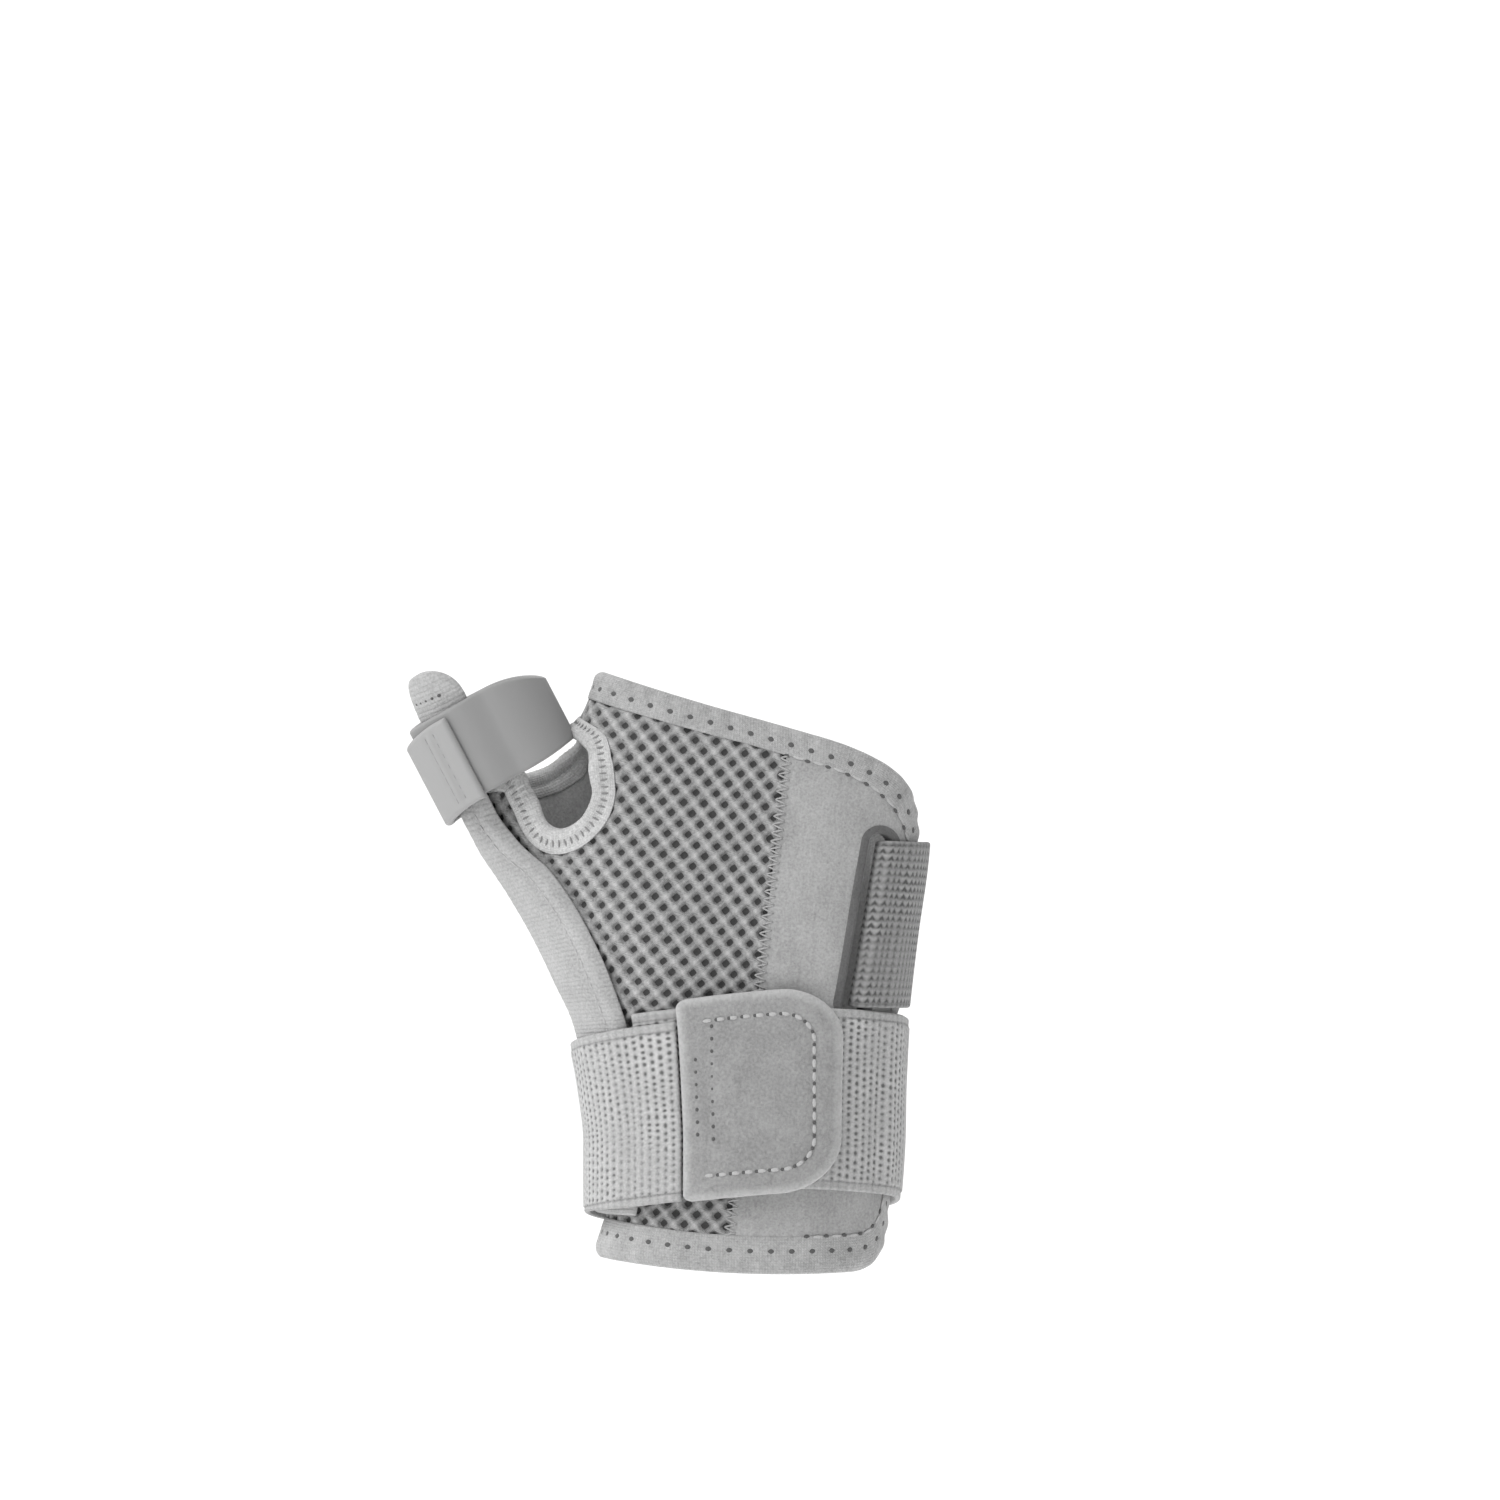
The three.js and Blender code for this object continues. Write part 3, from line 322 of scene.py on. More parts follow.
def section_at(z, x, y):
    """How far a section reaches sideways and in depth, in the quarter that x and y lie in, and its power."""
    reach = np.where(x < 0, REACH["thumb_side"](z), REACH["little_side"](z))
    depth = np.where(y < 0, REACH["palm"](z), REACH["back"](z))
    return reach, depth, REACH["square"](z)


def form_point(turn, z):
    """Points of the hand form at turns and heights."""
    turn, z = spread_out(turn, z)
    c, s = np.cos(np.radians(turn)), np.sin(np.radians(turn))
    reach, depth, power = section_at(z, c, s)
    stretch = (np.abs(c) ** power + np.abs(s) ** power) ** (-1 / power)
    x, y = reach * c * stretch, depth * s * stretch
    for bulge in PALM_BULGES:
        away = ((x - bulge.x) / bulge.reach_x) ** 2 + ((z - bulge.z) / bulge.reach_z) ** 2
        y = y + np.minimum(s, 0) * bulge.height * np.exp(-away)
    return np.stack([x, y, z], -1)


def form_frame(turn, z):
    """The form's tangents round the arm (per degree) and up it, and its outward normal."""
    around = (form_point(turn + FINE_TURN, z) - form_point(turn - FINE_TURN, z)) / (2 * FINE_TURN)
    up = (form_point(turn, z + FINE_Z) - form_point(turn, z - FINE_Z)) / (2 * FINE_Z)
    return around, up, unit(np.cross(around, up))


def above(turn, z, lift):
    """Points at a lift over the form."""
    turn, z, lift = spread_out(turn, z, lift)
    return form_point(turn, z) + form_frame(turn, z)[2] * lift[..., None]


def per_degree(turn, z):
    return np.linalg.norm(form_frame(turn, z)[0], axis=-1)


def turn_at(x, z, side=-1):
    """The turns where the form is at places across it, on the palm (-1) or on the back (1)."""
    x, z = spread_out(x, z)
    low, high = np.zeros(x.shape), np.full(x.shape, 180.0)
    for _ in range(BISECTIONS):
        middle = (low + high) / 2
        short = form_point(180 - side * middle, z)[..., 0] < x
        low, high = np.where(short, middle, low), np.where(short, high, middle)
    return 180 - side * (low + high) / 2


def walk(turn, z, heading, distance):
    """Walks over the form from places, each with its own heading, for a distance."""
    count = max(1, math.ceil(abs(distance) / WALK_STEP))
    for _ in range(count):
        around, up, normal = form_frame(turn, z)
        heading = unit(heading - normal * (heading * normal).sum(-1, keepdims=True))
        rr, ru, uu = (around * around).sum(-1), (around * up).sum(-1), (up * up).sum(-1)
        hr = (heading * around).sum(-1) * distance / count
        hu = (heading * up).sum(-1) * distance / count
        det = rr * uu - ru * ru
        turn, z = turn + (hr * uu - hu * ru) / det, z + (hu * rr - hr * ru) / det
    return turn, z


def run_of(points):
    """Distance along a line of points, from 0."""
    return np.concatenate([[0], np.cumsum(np.linalg.norm(np.diff(points, axis=0), axis=-1))])


# The wrap's outline

FREE_EDGE_Z = 20
PATH = SimpleNamespace(top=104, corner=64, side=72, bottom=88)
SEAM_PASSES = 6
RIM_POINTS = 208
RIM_SLOPE_SHARE = 0.015
RIM_SMOOTHINGS = 24


def free_edge(outline, inset):
    inwards = np.sign(outline.thumb_turn - outline.free_turn)
    return outline.free_turn + inwards * inset / per_degree(outline.free_turn, FREE_EDGE_Z)


def quarter_drop(share):
    return 1 - np.sqrt(np.maximum(0, 1 - share * share))


def top_edge(outline, turn, insets):
    corner, free = outline.top_corner_turn, free_edge(outline, insets.side)
    share = np.clip((turn - corner) / (free - corner), 0, 1)
    x = form_point(turn, outline.top_at_thumb - BOUND.top)[..., 0]
    line = outline.top_at_thumb - outline.top_fall * (x - TOP_EDGE_FROM_X) - insets.top
    return line - (outline.top_corner_drop - insets.top / 2) * quarter_drop(share)


def bottom_edge(outline, turn, insets):
    corner, free = outline.bottom_corner_turn, free_edge(outline, insets.side)
    share = np.clip((turn - corner) / (free - corner), 0, 1)
    x = form_point(turn, outline.bottom_low)[..., 0]
    rise = outline.bottom_rise * ((x - BOTTOM_LOW_AT_X) / BOTTOM_RISE_OVER_X) ** 2
    corner_rise = (outline.bottom_corner_rise - insets.bottom / 2) * quarter_drop(share)
    return outline.bottom_low + rise + insets.bottom + corner_rise


def outline_path(outline, insets):
    """The outline from the thumb along the top, down the free edge and back along the bottom, as places."""
    free = free_edge(outline, insets.side)
    quarter = np.sin(np.linspace(0, math.pi / 2, PATH.corner + 1))
    top = np.linspace(outline.thumb_turn, outline.top_corner_turn, PATH.top, endpoint=False)
    top = np.concatenate([top, lerp(outline.top_corner_turn, free, quarter)])
    bottom = lerp(outline.bottom_corner_turn, free, quarter[::-1])
    straight = np.linspace(outline.bottom_corner_turn, outline.thumb_turn, PATH.bottom + 1)
    bottom = np.concatenate([bottom, straight[1:]])
    top_z, bottom_z = top_edge(outline, top, insets), bottom_edge(outline, bottom, insets)
    side_z = np.linspace(top_z[-1], bottom_z[0], PATH.side + 1)[1:-1]
    turns = np.concatenate([top, np.full(side_z.shape, free), bottom])
    return turns, np.concatenate([top_z, side_z, bottom_z])


def panel_height(outline, turn, share):
    low, high = bottom_edge(outline, turn, UNDER_BINDING), top_edge(outline, turn, UNDER_BINDING)
    return lerp(low, high, share)


def seam_x(z):
    share = (z - PALM_SEAM.low_z) / (PALM_SEAM.high_z - PALM_SEAM.low_z)
    return lerp(PALM_SEAM.low_x, PALM_SEAM.high_x, share)


def seam_turn(share):
    """The seam's turn at shares of the palm panel's height."""
    turn = np.full(np.shape(share), 270.0)
    for _ in range(SEAM_PASSES):
        z = panel_height(PALM_OUTLINE, turn, share)
        turn = turn_at(seam_x(z), z)
    return turn


def rim_curve():
    """The thumb hole's inner edge as a closed smooth line of places, centripetal through its table."""
    knots = np.array([(float(turn_at(rim.x, rim.z, rim.side)), rim.z) for rim in THUMB_RIM])
    total = len(knots)
    place = np.arange(RIM_POINTS) / RIM_POINTS * total
    k, t = np.floor(place).astype(int), (place % 1)[:, None]
    p0, p1, p2, p3 = (knots[(k + step) % total] for step in (-1, 0, 1, 2))
    pairs = ((p0, p1), (p1, p2), (p2, p3))
    gap = [np.sqrt(np.linalg.norm(b - a, axis=1, keepdims=True)) for a, b in pairs]
    start = ((p1 - p0) / gap[0] - (p2 - p0) / (gap[0] + gap[1]) + (p2 - p1) / gap[1]) * gap[1]
    end = ((p2 - p1) / gap[1] - (p3 - p1) / (gap[1] + gap[2]) + (p3 - p2) / gap[2]) * gap[1]
    ends = p1 * (2 * t**3 - 3 * t**2 + 1) + p2 * (3 * t**2 - 2 * t**3)
    line = ends + start * (t**3 - 2 * t**2 + t) + end * (t**3 - t**2)
    return line[:, 0], line[:, 1]


def rim_places(out):
    """The thumb hole's inner edge moved out over the form, and evened out."""
    turn, z = rim_curve()
    if out == 0:
        return turn, z
    near = round(RIM_SLOPE_SHARE * RIM_POINTS)
    points = form_point(turn, z)
    along = np.roll(points, -near, 0) - np.roll(points, near, 0)
    turn, z = walk(turn, z, np.cross(along, form_frame(turn, z)[2]), out)
    for _ in range(RIM_SMOOTHINGS):
        turn = (2 * turn + np.roll(turn, 1) + np.roll(turn, -1)) / 4
        z = (2 * z + np.roll(z, 1) + np.roll(z, -1)) / 4
    return turn, z


def inside_loop(turn, z, loop):
    """Which places lie inside a closed line of places."""
    inside = np.zeros(np.shape(turn), bool)
    loop_turn, loop_z = loop
    for a in range(len(loop_turn)):
        b = a - 1
        crosses = (loop_z[a] > z) != (loop_z[b] > z)
        rise = loop_z[b] - loop_z[a]
        at = loop_turn[a] + (loop_turn[b] - loop_turn[a]) * (z - loop_z[a]) / (rise if rise else 1)
        inside ^= crosses & (turn < at)
    return inside


# Meshes

EDGE_STEPS = np.array([0, 0.05, 0.2, 0.45, 0.75])


def quads(rows, columns, wrap=False):
    """Row and column of each corner of every quad of a grid; wrapped corners run one past the last row."""
    i, j = np.meshgrid(np.arange(rows - (not wrap)), np.arange(columns - 1), indexing="ij")
    corners = [np.stack([i + di, j + dj], -1) for di, dj in ((0, 0), (1, 0), (1, 1), (0, 1))]
    return np.stack(corners, -2).reshape(-1, 4, 2)


def grid(u, v):
    return np.stack(np.meshgrid(u, v, indexing="ij"), -1)


def signed_volume(points, faces):
    total = 0.0
    for block in faces:
        for k in range(1, block.shape[1] - 1):
            a, b, c = points[block[:, 0]], points[block[:, k]], points[block[:, k + 1]]
            total += (a * np.cross(b, c)).sum()
    return total


def set_attribute(mesh, name, kind, domain, values):
    """Gives a mesh an attribute of its points or its faces."""
    field = "vector" if kind == "FLOAT_VECTOR" else "value"
    attribute = mesh.attributes.new(name, kind, domain)
    attribute.data.foreach_set(field, values.astype(np.float32).ravel())


def make_mesh(name, points, faces, cloths, weave=None, holes=None):
    """A mesh in metres from points in millimetres, blocks of faces and each corner's place on the cloth."""
    if signed_volume(points, faces) < 0:
        faces = [block[:, ::-1] for block in faces]
        cloths = [block[:, ::-1] for block in cloths]
    mesh = bpy.data.meshes.new(name)
    mesh.from_pydata((points * MM).tolist(), [], [face for block in faces for face in block.tolist()])
    layer = mesh.uv_layers.new(name="cloth")
    layer.data.foreach_set("uv", np.concatenate([block.reshape(-1) for block in cloths]).astype(np.float32))
    if weave is not None:
        set_attribute(mesh, "weave", "FLOAT_VECTOR", "POINT", weave)
    if holes is not None:
        set_attribute(mesh, "hole", "FLOAT", "FACE", holes)
    mesh.shade_smooth()
    mesh.validate()
    return mesh


def shell(name, outer, inner, cloth, wrap=False):
    """A closed sheet between two grids of points that meet along their borders."""
    rows, columns = outer.shape[:2]
    border = np.zeros((rows, columns), bool)
    border[:, [0, -1]] = True
    if not wrap:
        border[[0, -1]] = True
    upper = np.arange(rows * columns).reshape(rows, columns)
    lower = upper.copy()
    lower[~border] = rows * columns + np.arange((~border).sum())
    points = np.concatenate([outer.reshape(-1, 3), inner[~border]])
    corners = quads(rows, columns, wrap)
    r, c = corners[..., 0], corners[..., 1]
    faces = [upper[r % rows, c], lower[r % rows, c][:, ::-1]]
    cloths = [cloth[r, c], cloth[r, c][:, ::-1]]
    flat = cloth[:rows]
    weave = np.concatenate([flat, (~border)[..., None].astype(float)], -1).reshape(-1, 3)
    under = np.concatenate([flat[~border], np.zeros(((~border).sum(), 1))], -1)
    return make_mesh(name, points, faces, cloths, np.concatenate([weave, under]))


def slab(name, outer, inner, polygons, cloth, holes=None):
    """A wall over polygons that share vertices, each with the width of its hole if it is to have one."""
    used, places = np.unique(polygons, return_inverse=True)
    polygons = places.reshape(polygons.shape)
    outer, inner, cloth = outer[used], inner[used], cloth[used]
    count = len(used)
    starts = polygons.ravel()
    ends = np.roll(polygons, -1, axis=1).ravel()
    backwards = set(zip(ends.tolist(), starts.tolist()))
    rim = [(a, b) for a, b in zip(starts.tolist(), ends.tolist()) if (a, b) not in backwards]
    walls = np.array([(b, a, a + count, b + count) for a, b in rim])
    faces = [polygons, polygons[:, ::-1] + count, walls]
    cloth = np.concatenate([cloth, cloth])
    if holes is not None:
        holes = np.concatenate([holes, np.zeros(len(polygons) + len(walls))])
    points = np.concatenate([outer, inner])
    return make_mesh(name, points, faces, [cloth[block] for block in faces], holes=holes)


def tube(name, sections, cloth, closed):
    """A closed solid through closed sections, with flat ends unless it runs round."""
    rows, columns = sections.shape[:2]
    index = np.arange(rows * columns).reshape(rows, columns)
    corners = quads(rows, columns + 1, closed)
    r, c = corners[..., 0], corners[..., 1]
    faces = [index[r % rows, c % columns]]
    cloths = [cloth[r, c]]
    if not closed:
        faces += [index[:1, ::-1], index[-1:]]
        cloths += [cloth[:1, columns - 1 :: -1], cloth[-1:, :columns]]
    return make_mesh(name, sections.reshape(-1, 3), faces, cloths)


def spread(size, step, edge):
    """Places from 0 to a size, close together over a round edge at each end and a step apart between."""
    ends = edge * EDGE_STEPS
    middle = np.linspace(edge, size - edge, max(2, round((size - 2 * edge) / step) + 1))
    return np.concatenate([ends, middle, size - ends[::-1]])


def rounded(distance, edge):
    """Share of the thickness at a distance from a rounded edge."""
    return np.sqrt(np.maximum(0, 1 - (1 - np.clip(distance / edge, 0, 1)) ** 2))


# Node trees


class Value:
    """A socket whose arithmetic adds Math nodes to its tree."""

    def __init__(self, nodes, socket):
        self.nodes = nodes
        self.socket = socket

    def math(self, operation, *values):
        node = self.nodes.add("ShaderNodeMath", {"operation": operation}, dict(enumerate(values)))
        return Value(self.nodes, node.outputs[0])

    def __add__(self, other):
        return self.math("ADD", self, other)

    def __sub__(self, other):
        return self.math("SUBTRACT", self, other)

    def __rsub__(self, other):
        return self.math("SUBTRACT", other, self)

    def __mul__(self, other):
        return self.math("MULTIPLY", self, other)

    def __truediv__(self, other):
        return self.math("DIVIDE", self, other)

    def __mod__(self, other):
        return self.math("FLOORED_MODULO", self, other)

    def __abs__(self):
        return self.math("ABSOLUTE", self)

    __radd__ = __add__
    __rmul__ = __mul__

    def wave(self):
        """A rounded hump for each whole number."""
        return abs(self.math("SINE", self * math.pi))

    def floor(self):
        return self.math("FLOOR", self)

    def above(self, level):
        return self.math("GREATER_THAN", self, level)

    def least(self, other):
        return self.math("MINIMUM", self, other)

    def clamped(self, low=0.0, high=1.0):
        inputs = {"Value": self, "Min": low, "Max": high}
        return Value(self.nodes, self.nodes.add("ShaderNodeClamp", {}, inputs).outputs[0])


class Nodes:
    """A node tree being built."""

    def __init__(self, tree):
        self.tree = tree

    def add(self, kind, settings, inputs):
        """One node, with its settings made first and then its sockets set or linked."""
        node = self.tree.nodes.new(kind)
        for name, setting in settings.items():
            setattr(node, name, setting)
        for key, value in inputs.items():
            socket = node.inputs[key]
            if isinstance(value, Value):
                self.tree.links.new(value.socket, socket)
            elif isinstance(value, bpy.types.NodeSocket):
                self.tree.links.new(value, socket)
            else:
                socket.default_value = value
        return node

    def value(self, socket):
        return Value(self, socket)

    def noise(self, place, detail, scale=1.0):
        """Noise from about 0 to 1 over a place."""
        inputs = {"Vector": place, "Scale": scale, "Detail": detail, "Roughness": 0.6}
        return self.value(self.add("ShaderNodeTexNoise", {"noise_dimensions": "3D"}, inputs).outputs[0])

    def cloth_noise(self, u, v, detail):
        """Noise over distances along and across a cloth."""
        place = self.add("ShaderNodeCombineXYZ", {}, {0: u, 1: v})
        return self.noise(place.outputs[0], detail)


class Finish(Nodes):
    """A cloth material being built, on cloth coordinates in millimetres and on the object's own."""

    def __init__(self, name, roughness=0.92, sheen=0.15):
        self.material = bpy.data.materials.new(name)
        self.material.use_nodes = True
        super().__init__(self.material.node_tree)
        self.shader = self.tree.nodes["Principled BSDF"]
        self.constants({
            "Roughness": roughness,
            "Specular IOR Level": 0.18,
            "Sheen Weight": sheen,
            "Sheen Roughness": 0.6,
        })

    def constants(self, values):
        for socket, value in values.items():
            self.shader.inputs[socket].default_value = value

    def cloth(self):
        """Distances along and across the cloth, in millimetres."""
        uv = self.add("ShaderNodeUVMap", {"uv_map": "cloth"}, {})
        parts = self.add("ShaderNodeSeparateXYZ", {}, {0: uv.outputs[0]})
        return self.value(parts.outputs[0]), self.value(parts.outputs[1])

    def streaks(self, along, across):
        """Noise that changes by a share for each millimetre along and across the cloth."""
        u, v = self.cloth()
        return self.cloth_noise(u * along, v * across, 4.0)

    def object_noise(self, millimetres, detail):
        """Noise whose patches are about a size across, on the object's own coordinates."""
        place = self.add("ShaderNodeTexCoord", {}, {}).outputs["Object"]
        return self.noise(place, detail, 1 / (millimetres * MM))

    def finish(self, colour, shade, height, depth, darkest=0.55, lightest=1.3):
        """Colours the cloth by a shade from 0 to 1 and raises it by a height from 0 to 1."""
        dark, light = (tuple(channel * share for channel in colour) + (1,) for share in (darkest, lightest))
        tint = self.add("ShaderNodeMix", {"data_type": "RGBA"}, {0: shade.clamped(), 6: dark, 7: light})
        bump = self.add("ShaderNodeBump", {}, {"Strength": 1.0, "Distance": depth * MM, "Height": height})
        self.tree.links.new(tint.outputs[2], self.shader.inputs["Base Color"])
        self.tree.links.new(bump.outputs[0], self.shader.inputs["Normal"])
        return self.material

    def napped(self, colour, nap, pattern):
        """Colours and raises a napped cloth: fuzz and patches over a pattern from 0 to 1."""
        fuzz = self.object_noise(nap.fuzz, nap.fuzz_detail)
        patches = self.object_noise(nap.patch, nap.patch_detail)
        shade = (pattern - nap.middle) * nap.pattern_shade + nap.level
        shade = shade + (fuzz - 0.5) * nap.fuzz_shade + (patches - 0.5) * nap.patch_shade
        height = pattern * nap.pattern_height + fuzz * (1 - nap.pattern_height)
        return self.finish(colour, shade, height, nap.depth, lightest=nap.lightest)


# Napped cloths: sizes of their fuzz and patches, how far each and the pattern shade them, and their depth
Nap = namedtuple(
    "Nap",
    "fuzz fuzz_detail fuzz_shade patch patch_detail patch_shade"
    " middle pattern_shade pattern_height level depth lightest",
)
BRUSHED = Nap(0.6, 4, 1.3, 9, 2, 0.5, 0.5, 0.35, 0.3, 0.6, 0.26, 1.3)
TAPE = Nap(0.7, 4, 1.3, 6, 2, 0.6, 0.4, 0.2, 0.4, 0.6, 0.24, 1.3)
PADDED = Nap(0.6, 4, 1.3, 11, 2, 0.5, 0.6, 0.12, 0.3, 0.6, 0.26, 1.3)
# The fleece's pattern is a painted highlight along its rounded edges.
FLEECE = Nap(0.75, 5, 0.75, 7, 3, 0.38, 0.0, 0.45, 0.0, 0.32, 0.26, 1.75)
LOOPED = Nap(0.5, 4, 1.2, 8, 2, 0.5, 0.5, 0.5, 0.3, 0.58, 0.24, 1.3)
TAPE_RIB = (0.7, 0.55)
PADDED_RIB = 1.05
PADDED_WANDER = 0.8
FLEECE_HIGHLIGHT_WIDTH = 2.4


def brushed_cloth(name, colour):
    """Napped cloth with faint streaks along it."""
    finish = Finish(name)
    return finish.napped(colour, BRUSHED, finish.streaks(along=1.1, across=0.12))


def binding_tape(name, colour):
    """Soft knitted tape with a fine cross rib."""
    finish = Finish(name)
    u, v = finish.cloth()
    return finish.napped(colour, TAPE, (u / TAPE_RIB[0]).wave() * (v / TAPE_RIB[1]).wave())


def padded_cloth(name, colour):
    """Padded knit whose fine ribs run across it and wander a little."""
    finish = Finish(name)
    u, _ = finish.cloth()
    wander = finish.object_noise(millimetres=5.0, detail=2.0) * PADDED_WANDER
    return finish.napped(colour, PADDED, (u / PADDED_RIB + wander).wave())


def fleecy_cloth_edge_highlight(name, colour):
    """Looped fleece with a painted highlight along its edges, where their rounding would catch the light; the
    cloth's second coordinate is the way from its edge.
    """
    finish = Finish(name, sheen=0.3)
    _, from_edge = finish.cloth()
    return finish.napped(colour, FLEECE, 1 - (from_edge / FLEECE_HIGHLIGHT_WIDTH).clamped())


def loop_cloth(name, colour):
    """Flat looped cloth, close and even."""
    finish = Finish(name)
    return finish.napped(colour, LOOPED, finish.streaks(along=0.16, across=0.9))


# Knits: sizes of a loop, how its rows shift from rib to rib, how far ribs link them, and the plain selvedge
Loop = namedtuple("Loop", "along across depth stagger sway slip link selvedge")
WAVE_MIDDLE = 0.6
SLIP_FROM_RIB_TO_RIB = 3.7
SLIP_ALONG_RIB = 0.12
KNIT = SimpleNamespace(
    selvedge_blend=0.4, crease_width=0.5, yarn_along=0.17, yarn_across=0.4, depth=0.12,
    rib=0.4, linked_rib=0.25, crease=0.3, yarn=0.25, fuzz=0.8, streak=0.4, level=0.55,
    gap_curve=0.6, gap_level=0.18, region_gain=4.0, region_loss=0.8, least_gap=0.25, most_gap=1.4,
)


def knit_gaps(nodes, u, v, loop):
    """The ribs of a knit and the gaps between its loops, which slip a little along each rib, from 0 to 1."""
    rib = (u / loop.along + 0.5).floor()
    ribs = (u / loop.along).wave()
    slip = nodes.cloth_noise(rib * SLIP_FROM_RIB_TO_RIB, v * SLIP_ALONG_RIB, 1.0) - 0.5
    rows = (v / loop.across + (rib % 2.0) * loop.stagger + ribs * loop.sway + slip * loop.slip).wave()
    return ribs, (1 - rows * rows) * (1 - ribs * ribs * loop.link)


def knit(name, colour, loop, width, contrast):
    """Knitted loops in rows, plain along the selvedges; painted shade darkens the gaps between loops, the
    grooves between ribs and the crease at each selvedge, and painted light brightens the rib crests; the
    loops are in the mesh.
    """
    finish = Finish(name)
    u, v = finish.cloth()
    ribs, between = knit_gaps(finish, u, v, loop)
    from_edge = v.least(width - v) - loop.selvedge
    knitted = (from_edge / KNIT.selvedge_blend).clamped()
    crease = 1 - (abs(from_edge) / KNIT.crease_width).clamped()
    yarn = (u / (loop.along * KNIT.yarn_along) + v / (loop.across * KNIT.yarn_across)).wave()
    fuzz = finish.object_noise(millimetres=0.5, detail=4.0)
    streaks = finish.streaks(along=0.15, across=1.3)
    patches = finish.object_noise(millimetres=4.0, detail=3.0)
    regions = finish.object_noise(millimetres=16.0, detail=1.0) * KNIT.region_gain - KNIT.region_loss
    uneven = (patches * regions).clamped(KNIT.least_gap, KNIT.most_gap)
    # Painted shade in the gaps between loops, the grooves between ribs and the selvedge crease; painted light
    # on the rib crests.
    gap = between * (between * KNIT.gap_curve + (1 - KNIT.gap_curve)) - KNIT.gap_level
    shade = (ribs - WAVE_MIDDLE) * (KNIT.rib - KNIT.linked_rib * loop.link) - crease * KNIT.crease
    shade = shade - gap * contrast * uneven * knitted + (yarn - WAVE_MIDDLE) * KNIT.yarn
    shade = shade + (fuzz - 0.5) * KNIT.fuzz + (streaks - 0.5) * KNIT.streak + KNIT.level
    return finish.finish(colour, shade, (yarn + fuzz) * 0.5, KNIT.depth, darkest=0.3, lightest=1.4)


MESH = SimpleNamespace(
    yarn_along=0.62, yarn_across=0.35, narrow=3.4, main=0.6, depth=0.4,
    ridge=0.75, yarn=0.3, fuzz=0.9, patch=0.3, level=0.5,
    ridge_height=0.6, yarn_height=0.15, fuzz_height=0.25,
)


def strand_at(place):
    """1 along the middle of the strands that lie half way between whole numbers, and 0 off them."""
    return 1 - (abs(place % 1.0 - 0.5) * MESH.narrow).clamped()


def mesh_strand(name, colour, hole_at, up, down):
    """Filaments of the spacer mesh, palest along the strands that run down to the right and at knots: a
    painted highlight on the strands' crests, with painted shade on their flanks by the holes.
    """
    finish = Finish(name, roughness=0.75)
    u, v = finish.cloth()
    u, v = u - hole_at[0], v - hole_at[1]
    area = float(np.cross(up, down))
    main = strand_at((u * float(down[1]) - v * float(down[0])) / area)
    cross = strand_at((v * float(up[0]) - u * float(up[1])) / area)
    yarn = (u / MESH.yarn_along + v / MESH.yarn_across).wave()
    fuzz = finish.object_noise(millimetres=0.6, detail=4.0)
    patches = finish.object_noise(millimetres=5.0, detail=2.0)
    # The ridge is painted light and shade: strand crests lighter, their flanks by the holes darker; it also
    # raises the bump.
    ridge = main * MESH.main + cross * (1 - MESH.main)
    shade = (ridge - 0.5) * MESH.ridge + (yarn - WAVE_MIDDLE) * MESH.yarn + MESH.level
    shade = shade + (fuzz - 0.5) * MESH.fuzz + (patches - 0.5) * MESH.patch
    height = ridge * MESH.ridge_height + yarn * MESH.yarn_height + fuzz * MESH.fuzz_height
    return finish.finish(colour, shade, height, MESH.depth, darkest=0.3, lightest=1.8)


def dull_thread(name, colour):
    """Twisted sewing thread; the same shader in near-black paints the shade of needle holes."""
    finish = Finish(name, roughness=0.7)
    fuzz = finish.object_noise(millimetres=0.3, detail=2.0)
    return finish.finish(colour, fuzz, fuzz, depth=0.05, darkest=0.7, lightest=1.25)


# Geometry Nodes


class GeometryTree(Nodes):
    """A geometry tree being built, from a mesh to a mesh."""

    def __init__(self, name):
        super().__init__(bpy.data.node_groups.new(name, "GeometryNodeTree"))
        for way in ("INPUT", "OUTPUT"):
            self.tree.interface.new_socket("Geometry", in_out=way, socket_type="NodeSocketGeometry")
        self.given = self.add("NodeGroupInput", {}, {}).outputs["Geometry"]

    def attribute(self, name, kind):
        return self.add("GeometryNodeInputNamedAttribute", {"data_type": kind}, {"Name": name}).outputs[0]

    def extruded(self, mesh, faces, offset):
        """The mesh with faces pushed out one by one, and which faces are then on top."""
        inputs = {"Mesh": mesh, "Selection": faces, "Offset Scale": offset, "Individual": True}
        outputs = self.add("GeometryNodeExtrudeMesh", {"mode": "FACES"}, inputs).outputs
        return outputs["Mesh"], outputs["Top"]

    def scaled(self, mesh, faces, scale):
        inputs = {"Geometry": mesh, "Selection": faces, "Scale": scale}
        return self.add("GeometryNodeScaleElements", {"domain": "FACE"}, inputs).outputs[0]

    def coloured(self, mesh, material, faces=True):
        inputs = {"Geometry": mesh, "Selection": faces, "Material": material}
        return self.add("GeometryNodeSetMaterial", {}, inputs).outputs[0]

    def result(self, mesh):
        """The finished tree, which gives a smooth mesh."""
        smooth = self.add("GeometryNodeSetShadeSmooth", {}, {"Geometry": mesh})
        self.add("NodeGroupOutput", {}, {"Geometry": smooth.outputs[0]})
        return self.tree


HOLE_TAPER = 0.86
THREAD_SPHERE = {"Segments": 8, "Rings": 5, "Radius": 0.5}
Stitch = namedtuple("Stitch", "length width height slant zigzag", defaults=(0, 0))


